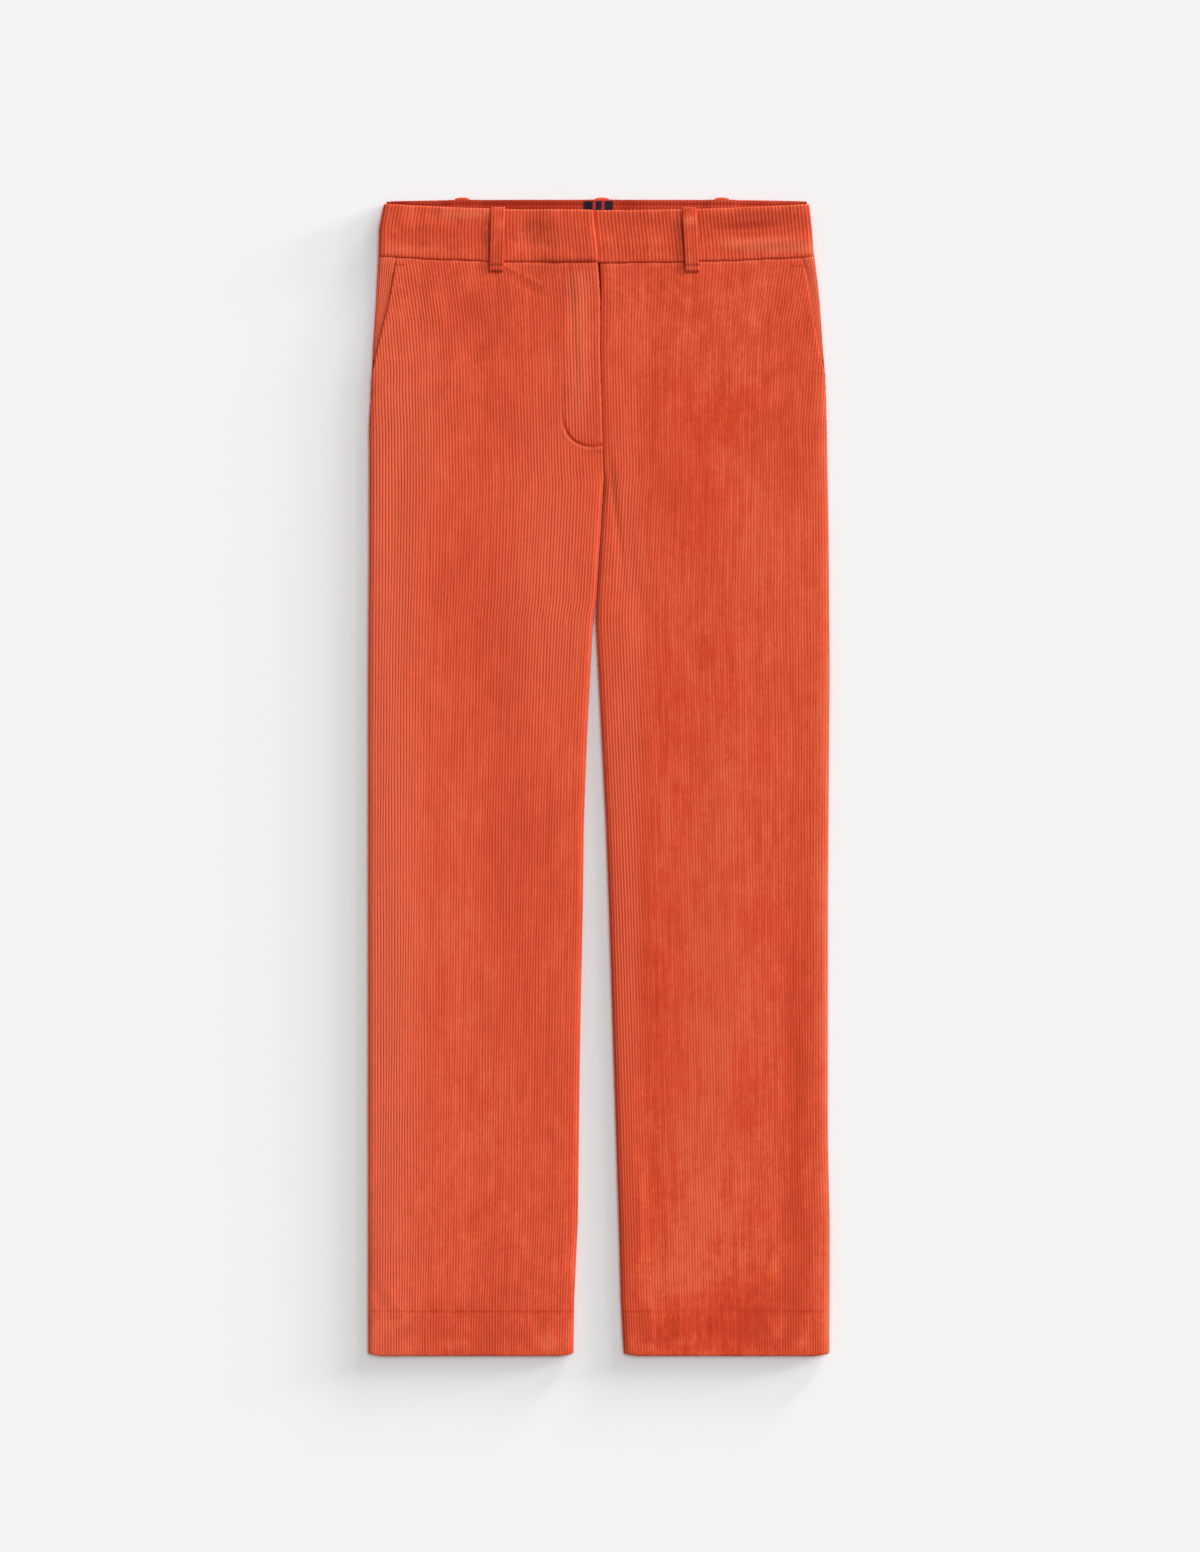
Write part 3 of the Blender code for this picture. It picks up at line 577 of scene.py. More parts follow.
def wale_tree():
    inputs = {
        "Wale height": ("Float", WALE_RISE * MM),
        "Roundness": ("Float", 1.5),
        "Unevenness": ("Float", 0.0),
        "Seed": ("Float", 7.0),
        "Material": ("Material", None),
    }
    tree, given, out = new_tree("raise_wales", inputs)
    across = maths(tree, "FRACT", point_fact(tree, "wale"))
    from_middle = maths(tree, "ABSOLUTE", maths(tree, "MULTIPLY_ADD", across, 2.0, -1.0))
    profile = maths(tree, "SUBTRACT", 1.0, maths(tree, "POWER", from_middle, given["Roundness"]))
    rise = point_fact(tree, "rise")
    crest = maths(tree, "MULTIPLY", profile, rise)
    tufts = {"W": given["Seed"], "Scale": 420.0, "Detail": 1.0}
    tufts = add(tree, "ShaderNodeTexNoise", tufts, noise_dimensions="4D").outputs[0]
    uneven = maths(tree, "MULTIPLY", either_side(tree, tufts, given["Unevenness"]), rise)
    height = maths(tree, "MULTIPLY_ADD", crest, given["Wale height"], uneven)
    normal = tree.nodes.new("GeometryNodeInputNormal").outputs[0]
    stored = keep_fact(tree, given["Geometry"], "crest", crest)
    stored = keep_fact(tree, stored, "lay", normal, "FLOAT_VECTOR")
    inputs = {"Geometry": stored, "Offset": scaled(tree, normal, height)}
    moved = add(tree, "GeometryNodeSetPosition", inputs).outputs[0]
    return end_tree(tree, given, out, moved)


WALE_TREE = wale_tree()


# %% Run a tree and keep a plain mesh
def new_object(name, data):
    thing = bpy.data.objects.new(name, data)
    bpy.context.scene.collection.objects.link(thing)
    return thing


def plain_result(name, mesh, tree, **inputs):
    """Runs a tree on a mesh and keeps the result as a plain object of that name."""
    source = new_object(name + "_source", mesh)
    modifier = source.modifiers.new("make", "NODES")
    modifier.node_group = tree
    sockets = {item.name: item.identifier for item in tree.interface.items_tree if item.in_out == "INPUT"}
    for given, value in inputs.items():
        modifier[sockets[given.replace("_", " ")]] = value
    graph = bpy.context.evaluated_depsgraph_get()
    result = bpy.data.meshes.new_from_object(source.evaluated_get(graph), depsgraph=graph)
    source.modifiers.clear()
    bpy.data.objects.remove(source)
    bpy.data.meshes.remove(mesh)
    result.name = name
    print(name, "has", len(result.polygons), "faces")
    return new_object(name, result)


# %% [markdown]
# ## The corduroy's finish
# Cut pile is matte, but it catches light at its edges, and it looks paler or deeper where it
# has been brushed one way or the other. So the colour runs from deep to pale with the nap
# and with noises: broad patches, clouds, streaks that follow the wales, and fine fuzz. The
# point value that carries the nap also carries painted shade and painted highlight, along
# edges, seams and folds that face from or towards the light. Near the waist and the hems,
# where the garment is handled, it is mottled as well. The grooves show the darker ground
# cloth, darkened further as painted shade, and the crests are paler pile tips with a painted
# highlight. Where that value is deepest, a still darker red is painted as shade, such as
# inside the back waistband and along the pocket mouths. Pile softens the shading of each
# wale, so the normal leans back towards the cloth's own direction.

# %% Helpers for materials
def new_material(name):
    material = bpy.data.materials.new(name)
    material.use_nodes = True
    return material, material.node_tree, material.node_tree.nodes["Principled BSDF"]


def own_place(tree):
    """Object coordinates, so a pattern stays on its own piece."""
    return add(tree, "ShaderNodeTexCoord").outputs["Object"]


def stretched(tree, scale):
    return add(tree, "ShaderNodeMapping", {"Vector": own_place(tree), "Scale": scale}).outputs[0]


def noise(tree, scale, detail=2.0, roughness=0.5, distortion=0.0):
    inputs = {
        "Vector": stretched(tree, scale), "Scale": 1.0, "Detail": detail,
        "Roughness": roughness, "Distortion": distortion,
    }
    return add(tree, "ShaderNodeTexNoise", inputs).outputs[0]


def ramp(tree, value, *stops):
    """A colour ramp from (position, colour) stops; a plain number is a grey."""
    node = add(tree, "ShaderNodeValToRGB", {"Fac": value})
    while len(node.color_ramp.elements) < len(stops):
        node.color_ramp.elements.new(0.5)
    for element, (position, color) in zip(node.color_ramp.elements, stops):
        element.position = position
        element.color = color if isinstance(color, tuple) else (color, color, color, 1)
    return node.outputs[0]


def mix_color(tree, share, first, second):
    return add(tree, "ShaderNodeMix", {0: share, 6: first, 7: second}, data_type="RGBA").outputs[2]


def bump(tree, height, strength, distance=0.0001, **more):
    inputs = {"Strength": strength, "Distance": distance, "Height": height, **more}
    return add(tree, "ShaderNodeBump", inputs).outputs[0]


print("sizes in a material are in metres, so a bump of 0.1 mm is", 0.1 * MM)

# %% Corduroy material
# SHADED is painted shade: the darkest red, laid where the cloth lies in shadow.
SHADED = (0.34, 0.020, 0.006, 1)
DEEP = (0.54, 0.040, 0.012, 1)
MIDDLE = (0.73, 0.075, 0.026, 1)
PALE = (0.81, 0.150, 0.070, 1)
# The ground cloth in the grooves, darkened further as painted shade, and the pale pile tips with a painted
# highlight.
GROOVE_GROUND_AND_SHADE = (0.62, 0.056, 0.018, 1)
TIP_PILE_AND_HIGHLIGHT = (0.82, 0.155, 0.076, 1)
SHEEN = (1.0, 0.52, 0.38, 1)
SOFTNESS = 0.9
NAP_AND_SHADE_STRENGTH = 1.7
PILE_NOISES = [
    # scale across, down and up, detail, roughness, distortion, amount
    ((27, 17, 20), 3.0, 0.6, 0.8, 0.68),
    ((110, 60, 60), 3.0, 0.65, 1.0, 0.36),
    ((365, 240, 60), 3.0, 0.65, 0.0, 0.6),
    ((365, 13, 20), 1.0, 0.5, 0.0, 0.8),
]


def fact(tree, name, output="Fac"):
    """A value that the piece's points carry."""
    node = add(tree, "ShaderNodeAttribute", attribute_name=name, attribute_type="GEOMETRY")
    return node.outputs[output]


def mottled(tree):
    """Marks of handling, strongest near the waist and the hems."""
    along = add(tree, "ShaderNodeSeparateXYZ", {0: own_place(tree)}).outputs[1]
    handled = ramp(tree, maths(tree, "ABSOLUTE", along), (0.22, 0.35), (0.48, 1))
    marks = noise(tree, (75, 48, 50), 4.0, 0.75, 0.15)
    return maths(tree, "MULTIPLY", either_side(tree, marks, 1.0), handled)


def soft_facing(tree):
    """The normal, leaning towards the cloth's own direction."""
    facing = add(tree, "ShaderNodeNewGeometry").outputs["Normal"]
    soft = scaled(tree, fact(tree, "lay", "Vector"), SOFTNESS)
    facing = add(tree, "ShaderNodeVectorMath", {0: facing, 1: soft}, operation="ADD").outputs[0]
    return add(tree, "ShaderNodeVectorMath", {0: facing}, operation="NORMALIZE").outputs[0]


def corduroy(name):
    material, tree, shader = new_material(name)
    nap_and_shade = fact(tree, "nap_and_shade")
    shade = maths(tree, "MULTIPLY_ADD", nap_and_shade, NAP_AND_SHADE_STRENGTH, 0.5)
    for *look, amount in PILE_NOISES:
        shade = maths(tree, "ADD", shade, either_side(tree, noise(tree, *look), amount))
    fuzz = noise(tree, (2300, 1500, 2000), 2.0, 0.7)
    shade = maths(tree, "ADD", shade, either_side(tree, fuzz, 0.5))
    mottle = mottled(tree)
    shade = maths(tree, "MULTIPLY_ADD", mottle, 1.1, shade)
    pile = ramp(tree, shade, (0.1, DEEP), (0.5, MIDDLE), (0.92, PALE))
    crest = fact(tree, "crest")
    # Darker ground with painted shade in the grooves, pale tips with a painted highlight on the crests.
    color = mix_color(tree, ramp(tree, crest, (0.0, 0), (0.6, 1)), GROOVE_GROUND_AND_SHADE, pile)
    color = mix_color(tree, ramp(tree, crest, (0.62, 0), (1.0, 0.95)), color, TIP_PILE_AND_HIGHLIGHT)
    # Painted shade: where the nap and shade value is below -0.5, the colour turns to the darkest red.
    painted_shade_share = ramp(tree, maths(tree, "MULTIPLY", nap_and_shade, -1.0), (0.5, 0), (1.0, 1))
    color = mix_color(tree, painted_shade_share, color, SHADED)
    fill(tree, shader, {
        "Base Color": scaled(tree, color, maths(tree, "MULTIPLY_ADD", mottle, 0.4, 1.0)),
        "Roughness": maths(tree, "MULTIPLY_ADD", fuzz, 0.14, 0.82),
        "Normal": bump(tree, fuzz, 0.35, 0.00012, Normal=soft_facing(tree)),
        "Specular IOR Level": 0.12,
        "Sheen Weight": 0.22,
        "Sheen Roughness": 0.45,
        "Sheen Tint": SHEEN,
    })
    return material


CORDUROY = corduroy("corduroy_pile")
PILE_UNEVEN = 0.0003


def in_corduroy(name, mesh, **sizes):
    """A wall of cloth with its wales raised; its pile stands unevenly unless told otherwise."""
    sizes.setdefault("Unevenness", PILE_UNEVEN)
    return plain_result(name, mesh, WALE_TREE, Material=CORDUROY, **sizes)


print("corduroy nodes:", len(CORDUROY.node_tree.nodes))

# %% [markdown]
# ## How the pile lies, and where shade and highlight are painted
# Handling brushes the pile into paler and deeper patches. Some rows of the first table are
# painted shade and painted highlight instead: dark bands along the left sides of the legs and
# the inner edge of the right leg, a pale right outer edge, and dark and pale bands over the
# waistband's soft waves, as these face from or towards the light. Each row gives the middle
# of a soft patch, its reach across and down, its tilt, and how much paler (+) or deeper (-)
# it is. A second, shorter table does the same for the wales' height, because wear flattens
# them in some places and leaves them standing in others.

# %% The patches
NAP_AND_SHADE_PATCHES = [
    # x, drop, reach across, reach down, tilt in degrees, shift
    (-196, 620, 7, 420, 0, -0.08), (-180, 560, 13, 320, 1, -0.30), (-180, 900, 14, 130, 4, -0.16),
    (-110, 840, 26, 60, 30, 0.04), (-96, 930, 50, 70, -10, -0.06), (-128, 700, 26, 260, 3, 0.05),
    (-70, 560, 34, 260, -3, -0.12), (-30, 330, 22, 120, 4, -0.10), (-172, 250, 22, 70, 0, -0.20),
    (-150, 165, 24, 50, -12, 0.06), (-108, 110, 40, 30, -8, -0.15), (-70, 200, 40, 50, 20, -0.04),
    (-100, 380, 46, 60, -20, -0.12), (-118, 15, 20, 4, 0, 0.44), (-56, 40, 26, 7, 4, 0.10),
    (-160, 46, 34, 6, 0, 0.30), (-128, 34, 30, 8, 0, -0.48), (30, 22, 40, 9, 0, -0.26),
    (132, 25, 52, 7, -3, -0.70), (150, 43, 36, 6, 3, 0.75), (60, 120, 40, 60, -10, 0.10),
    (130, 130, 40, 60, 10, 0.12), (60, 260, 60, 60, 25, -0.05), (140, 300, 40, 90, -10, 0.08),
    (19, 800, 11, 250, -1.5, -0.52), (30, 520, 12, 200, -3, -0.20), (110, 600, 60, 300, 0, 0.09),
    (92, 820, 26, 200, 4, 0.14), (176, 800, 12, 220, 1, -0.22), (198, 600, 6, 460, 0, 0.20),
    (80, 940, 36, 40, 0, 0.14), (150, 970, 46, 20, 0, -0.10), (-112, 1000, 90, 26, 0, -0.26),
    (112, 1000, 90, 26, 0, -0.24), (-197, 1000, 5, 14, 10, 0.40), (-176, 990, 12, 4, -20, 0.34),
    (-160, 1006, 5, 7, 30, 0.26), (-128, 1010, 14, 5, 0, 0.30), (-44, 1008, 7, 12, -25, 0.40),
    (-27, 1000, 4, 12, 10, 0.30), (28, 1006, 7, 14, -15, 0.40), (44, 1012, 9, 4, 15, 0.26),
    (74, 1008, 10, 4, 0, 0.20), (158, 998, 6, 8, 20, 0.22), (178, 1008, 6, 6, -30, 0.28),
    (199, 990, 4, 24, 0, 0.34),
]
RELIEF_PATCHES = [
    # x, drop, reach across, reach down, tilt, share of the wales' height gained
    (-188, 640, 24, 400, 0, 1.15), (-170, 190, 34, 90, 0, 0.4), (-40, 330, 34, 130, 0, 0.3),
    (90, 700, 70, 420, 0, -0.45), (26, 560, 16, 360, 0, 0.5), (110, 180, 70, 90, 0, -0.2),
]


def patch(x, drop, middle_x, middle_drop, across, down, tilt):
    """1 in the middle of a soft tilted patch, 0 away from it."""
    turn = math.radians(tilt)
    x, drop = x - middle_x, drop - middle_drop
    u = (x * math.cos(turn) + drop * math.sin(turn)) / across
    v = (drop * math.cos(turn) - x * math.sin(turn)) / down
    return np.exp(-(u * u + v * v))


# Brushed pile, painted shade and painted highlight, summed from the patches above.
def nap_and_shade_of(x, drop):
    return sum(shift * patch(x, drop, *place) for *place, shift in NAP_AND_SHADE_PATCHES)


print("nap patches:", len(NAP_AND_SHADE_PATCHES), " relief patches:", len(RELIEF_PATCHES))

# %% [markdown]
# ## The front panels
# The left front carries the fly: it is a little thicker where the fly facing lies under it,
# and its edge is rolled. Both fronts are cut away along the slanted pocket mouths. At the
# bottom the cloth turns under, so the last rows run round the fold and the wales show in
# the hem's outline as they do in the hem of real corduroy.

# %% What sewing does to a front panel
FACING_LIFT = 0.4  # the facing under the fly edge lifts it
FACING_END = 224
CHANNEL_DEPTH = 0.25  # the fly's stitching sinks into the pile
RIDGE_RISE = 0.14  # and raises a soft ridge beside it
RIDGE_AWAY = 2.6
HEM_GROOVE = 0.11


def edge_roll(distance, reach, depth):
    """How far a folded edge rolls down."""
    return depth * rounded(distance / reach)


def front_details(side, x, drop, edges):
    """Height that sewing and handling add to a front panel's face."""
    from_side, from_fly = in_order(side, *edge_distances(x, edges))
    at_mouth, at_fly = 1 - side_turn(drop), 1 - inner_turn(drop)
    z = soft_forms(x, drop, FINE_FORMS, DOWN_FADE) * smooth((drop - 59) / 3)
    z = z * (1 - rounded(nearest_edge(x, edges) / 9))
    z = z - edge_roll(drop - PANEL_TOP, 1.0, 0.4) - edge_roll(from_side, 1.5, 0.9) * at_mouth
    if side < 0:
        z = z + FACING_LIFT * at_fly * smooth((x - fly_line(drop)) / 3) * (drop < FACING_END)
        z = z - edge_roll(from_fly, 0.8, 0.6) * at_fly - CHANNEL_DEPTH * fly_channel(x, drop)
        ridge = bell(fly_distance(x, drop) - RIDGE_AWAY, 1.2)
        z = z + RIDGE_RISE * smooth((drop - 190) / 20) * ridge
    else:
        gape = 1 - smooth((drop - 80) / 14)
        z = z - edge_roll(from_fly, 0.7 + 1.6 * gape, 0.3 + gape) * at_fly
    return z - HEM_GROOVE * bell(drop - HEM_START, 1.0)


def panel_press(side, x, drop, edges):
    """Share of the wales' height left where sewing presses the pile and wear flattens it."""
    press = np.clip(nearest_edge(x, edges) / 0.7, 0.0, 1.0)
    for *place, gain in RELIEF_PATCHES:
        press = press * (1 + gain * patch(x, drop, *place))
    if side < 0:
        gathered = smooth((drop - 62) / 14) * (1 - smooth((drop - 150) / 60)) * bell(x + 17, 8)
        press = press * (1 - 0.8 * fly_channel(x, drop)) * (1 + 1.1 * gathered)
    press = press * (1 - 0.35 * bell(drop - HEM_START, 0.9))
    return press * (0.6 + 0.4 * smooth((drop - PANEL_TOP) / 1.2))


def front_painted_light(side, x, drop, edges):
    """Painted highlight (+) and painted shade (-) along a front panel's seams and edges: pale along the
    pocket mouth and under the waist seam, a little deeper towards the waist, dark beside the right front's
    fly edge, pale and dark along the fly's stitching, a pale fly edge and a dark line down the fly.
    """
    from_side, from_fly = in_order(side, *edge_distances(x, edges))
    mouth = 0.16 * (1 - side_turn(drop)) * bell(from_side, 1.8)
    nap_and_shade = mouth + 0.16 * bell(drop - 59.6, 1.1) - 0.06 * (1 - smooth((drop - 180) / 120))
    if side > 0:
        return nap_and_shade - 0.66 * bell(from_fly, 4.2) * (1 - smooth((drop - 230) / 60))
    away = fly_distance(x, drop)
    beyond = drop > np.interp(x, *zip(*FLY_CURVE))
    line = np.where(beyond, 0.42 * bell(away - 1.6, 1.2), -0.5 * bell(away - 1.2, 2.2))
    edge = 0.22 * smooth((3.2 - from_fly) / 1.2) * (drop < FLY_END)
    drag = 0.26 * bell(x + 27.0 - drop / 30, 2.6) * (1 - smooth((drop - 120) / 70))
    return nap_and_shade + line * smooth((drop - 196) / 12) + edge - drag


print("the fly's stitching sinks", CHANNEL_DEPTH, "mm into the pile")

# %% Front panels
FOLD_ANGLES = np.radians([25, 50, 75, 100, 130, 160, 180])[:, None]
FLY_UNDER_Z = 3.3  # over the fly's shield the inside stays clear of this height


def fan_end(side, drop):
    """Where the outermost wale runs."""
    return side * np.maximum(FANS[side](drop), SIDES[side](drop))


def wobble(wales, drop):
    """Small sideways drift of the wales, which are never ruler straight."""
    return 0.28 * np.sin(drop / 61 + wales * 0.31) + 0.16 * np.sin(drop / 23 + wales * 0.83)


def left_and_right(make, name):
    """Makes a piece for the left side (-1) and for the right side (1)."""
    return {side: make(name % word, side) for side, word in ((-1, "left"), (1, "right"))}


def turn_hem(face, rise, low):
    """Adds the rows that run round the hem's fold, down to the height `low`."""
    x, drop, z = np.moveaxis(face[-1:], -1, 0)
    radius = (z - low) / 2
    fold = as_grid(x, drop + radius * np.sin(FOLD_ANGLES), (z + low) / 2 + radius * np.cos(FOLD_ANGLES))
    fold_rise = rise[-1:] * smooth(np.radians(150) - FOLD_ANGLES)
    return np.concatenate([face, fold]), np.concatenate([rise, fold_rise])


def front_inside(side):
    """The inside of a front panel's wall, which needs few points."""
    drop = rows_of(PANEL_TOP, (300, 20), (960, 60), (HEM_START, 10), (983, 1), (HEM_FOLD, 12))
    edges, turns = front_edges(side, drop)
    x = inside_columns(edges, turns, crowded(25, 0.6), WALL)
    z = front_face(side, x, drop, hem_wall(drop))
    lowest = np.where(drop < 240, FLY_UNDER_Z, z) - SEAM_GAP
    z = np.maximum(z + np.minimum(front_details(side, x, drop, edges), 0), lowest)
    return as_grid(x, shaped_drop(x, drop, edges), z)


def make_front(name, side):
    drop = LEG_ROWS
    edges, turns = front_edges(side, drop)
    wales = wale_columns(WALES_PER_LEG)
    span = in_order(side, fan_end(side, drop), INNERS[side](drop))
    x = lay_wales(span, turns, wales, WALES_PER_LEG)
    x = x + wobble(wales, drop) * smooth(nearest_edge(x, edges) / 12)
    x = np.clip(x, *edges)
    jagged = 0.3 * np.sin(7.3 * drop) * (drop > 60) * (drop < 215)
    x = x + jagged * np.exp(-nearest_edge(x, edges) / 1.5) * (1 - turns[0] * turns[1])
    z = front_face(side, x, drop) + front_details(side, x, drop, edges)
    face = as_grid(x, shaped_drop(x, drop, edges), z)
    low = front_face(side, x[-1:], drop[-1:], hem_wall(drop[-1:]))
    face, rise = turn_hem(face, panel_press(side, x, drop, edges), low)
    nap_and_shade = nap_and_shade_of(face[..., 0], face[..., 1])
    # Painted shade and painted highlight along the front's seams, edges and fly.
    nap_and_shade[: len(x)] += front_painted_light(side, x, drop, edges)
    return in_corduroy(name, wall(name, face, front_inside(side), wales, rise, nap_and_shade))


fronts = left_and_right(make_front, "front_%s_cloth")

# %% [markdown]
# ## The back panels
# The back of the garment rests on the floor, so its face is flat there: its wales are pressed
# in, with their crests on the floor and their grooves raised into the wall. The walls are the
# same closed sheets as in front, rounded up to the side seams and inseams.

# %% Back panels
BACK_PANEL_TOP = 56.0
BACK_WITHIN = (0.0, 0.2, 0.5, 0.8)
PRESSED_WALE = 0.42


def make_back(name, side):
    drop = rows_of(BACK_PANEL_TOP, (260, 12), (960, 24), (979, 8), (984, 1.2), (1012, 7), (HEM_FOLD, 2.2))
    middle = 0.5 * (INNERS[-1](drop) + INNERS[1](drop)) + side * SEAM_GAP / 2
    inner = np.where(drop < FORK_DROP, middle, INNERS[side](drop))
    edges = in_order(side, side * SIDES[side](drop), inner)
    turns = in_order(side, 1.0, inner_turn(drop))
    wales = wale_columns(WALES_PER_LEG, BACK_WITHIN)
    x = np.clip(lay_wales(edges, turns, wales, WALES_PER_LEG), *edges)
    z = walled(x, PRESSED_WALE, edges, turns, BACK_SEAM_Z, BACK_EDGE_REACH)
    face = as_grid(x, shaped_drop(x, drop, edges), z + 0.12 * bell(drop - HEM_START, 1.2))
    rise = np.clip(nearest_edge(x, edges) / 1.2, 0.0, 1.0)
    nap_and_shade = nap_and_shade_of(-0.9 * face[..., 0], face[..., 1] + 12)

    x = inside_columns(edges, turns, crowded(19, 0.75), WALL)
    thick = hem_wall(drop)
    seam_z = np.maximum(BACK_SEAM_Z, thick)
    z = walled(x, thick, edges, turns, seam_z, BACK_EDGE_REACH + 1, WALL)
    inside = as_grid(x, shaped_drop(x, drop, edges), z)
    mesh = wall(name, face, inside, wales, rise, nap_and_shade)
    return in_corduroy(name, mesh, Wale_height=PRESSED_WALE * MM, Unevenness=0.0)


backs = left_and_right(make_back, "back_%s_cloth")

# %% [markdown]
# ## The pocket facings
# Outside each slanted pocket mouth the side of the trousers shows: that cloth is the facing,
# and it runs on under the front. Its wales lean with the side seam.

# %% Pocket facings
FACING_TOP_Z = 4.4
FACING_WALL = 1.4
FACING_EDGE_REACH = 4.5
FACING_UNDERLAY = 26.0
FACING_WALES = 9


def facing_top(away, mouth, drop):
    """Height of a facing: the waist seam pulls its top up to the band."""
    pull = (1 - smooth((drop - WAIST_DROP) / 26)) * smooth((away - mouth) / 6)
    return FACING_TOP_Z + 2.0 * pull


def make_facing(name, side):
    drop = rows_of(PANEL_TOP, (62, 0.8), (143, 2.5))
    outer = SIDES[side](drop)
    mouth = MOUTHS[side](drop) - HALF_WAIST / WALES_PER_BAND
    edges, turns = (mouth - FACING_UNDERLAY, outer), (0.0, 1.0)
    wales = wale_columns(FACING_WALES)
    away = np.concatenate([edges[0], between(mouth, outer, wales / FACING_WALES)], 1)
    flat = facing_top(away, mouth, drop)
    z = walled(away, flat, edges, turns, FRONT_SEAM_Z, FACING_EDGE_REACH)
    z = z - edge_roll(drop - PANEL_TOP, 1.2, 0.4)
    face = as_grid(side * away, waist_drop(side * away, drop), z)
    rise = 1.7 * np.clip(nearest_edge(away, (mouth, outer)) / 1.2, 0.0, 1.0)
    # Painted shade: a dark line on the facing along the pocket mouth, under the front's edge.
    nap_and_shade = nap_and_shade_of(face[..., 0], face[..., 1]) - 0.8 * bell(away - mouth, 1.9)

    away = inside_columns(edges, turns, np.linspace(0, 1, 9), FACING_WALL)
    flat = facing_top(away, mouth, drop) - FACING_WALL
    z = walled(away, flat, edges, turns, FRONT_SEAM_Z, FACING_EDGE_REACH, FACING_WALL)
    inside = as_grid(side * away, waist_drop(side * away, drop), z)
    wales = np.concatenate([[0.0], wales])
    return in_corduroy(name, wall(name, face, inside, wales, rise, nap_and_shade))


facings = left_and_right(make_facing, "pocket_facing_%s_cloth")

# %% [markdown]
# ## The waistband
# A waistband is a strip folded over at the top and sewn to the legs below. Its wales run over
# the fold, which gives its top edge a small scallop. So its grid starts behind the fold, goes
# round it and down the face. The left half climbs over the right half's underlap and ends in
# a nose with a rounded top corner. The back half shows its inside, and lies on its outside.

# %% The fold at the top of a band
BAND_ANGLES = np.radians([180, 155, 130, 108, 88, 68, 48, 28, 12, 0])[:, None]
BAND_RADIUS = BAND_WALL / 2
FOLD_SHARE = BAND_RADIUS / BAND_DEPTH


def folded_top(down):
    """Shares down a band whose first rows go round its folded top. Also how far each row
    drops in the fold, how far it lies below the face, and how tall the wales stand there."""
    flat = np.zeros_like(down)
    share = np.concatenate([np.zeros_like(BAND_ANGLES), down])
    fold = np.concatenate([BAND_RADIUS * (1 - np.sin(BAND_ANGLES)), flat])
    below = np.concatenate([BAND_RADIUS * (1 - np.cos(BAND_ANGLES)), flat])
    standing = np.concatenate([smooth((math.radians(150) - BAND_ANGLES) / 0.9), flat + 1])
    return share, fold, below, standing


print("the fold is", BAND_WALL, "mm thick and takes", len(BAND_ANGLES), "rows")

# %% Waistband in front
BAND_BASE_Z = 5.3
FRONT_BAND_SEAM_Z = BAND_SEAM_Z + SEAM_GAP / 2
CORNER = 3.2  # reach of the nose's rounded corner
BAND_FORMS = [
    # drop start, x start, drop end, x end, width in drop, height
    (22, -182, 26, -140, 7, 0.6), (20, -150, 26, -100, 7, -0.7), (38, -170, 42, -112, 5, 0.6),
    (20, -72, 26, -12, 7, 0.5), (40, -74, 47, -18, 5, -0.6), (22, 8, 26, 68, 7, -0.5),
    (43, 14, 41, 66, 5, 0.55), (27, 92, 21, 178, 6.5, -1.0), (44, 112, 37, 184, 5, 1.0),
    (13, 94, 10, 160, 4, 0.5),
]
BAND_FADE = 0.25


def lap_line(drop):
    """x of the left waistband's end, over the right one."""
    return -4.6 + 3.9 * smooth((drop - 10) / 48)


def front_band_base(side, x, drop):
    """Height of a front band's underside: the left one climbs over the underlap."""
    if side > 0:
        return BAND_BASE_Z + 0.2 * smooth((30 - x) / 20)
    past = x - lap_line(drop)
    return BAND_BASE_Z + 3.75 * smooth((past + 62) / 30) - 0.6 * smooth((past + 6) / 6)


def front_band_edges(side, share):
    lap = lap_line(11.6 + share * BAND_DEPTH)
    outer = side * SIDES[side](7 + share * BAND_DEPTH)
    return in_order(side, outer, lap if side < 0 else lap - UNDERLAP)


def front_band_inside(side, turns):
    share = np.concatenate([[FOLD_SHARE], np.linspace(0.1, 1, 8)])[:, None]
    edges = front_band_edges(side, share)
    x = inside_columns(edges, turns, np.linspace(0, 1, 61), BAND_WALL)
    drop = between(band_top_edge(x), waist_seam(x) - SEAM_GAP / 2, share)
    base, reach = front_band_base(side, x, drop), EDGE_REACH + BAND_RADIUS
    return as_grid(x, drop, walled(x, base, edges, turns, FRONT_BAND_SEAM_Z, reach, BAND_WALL))


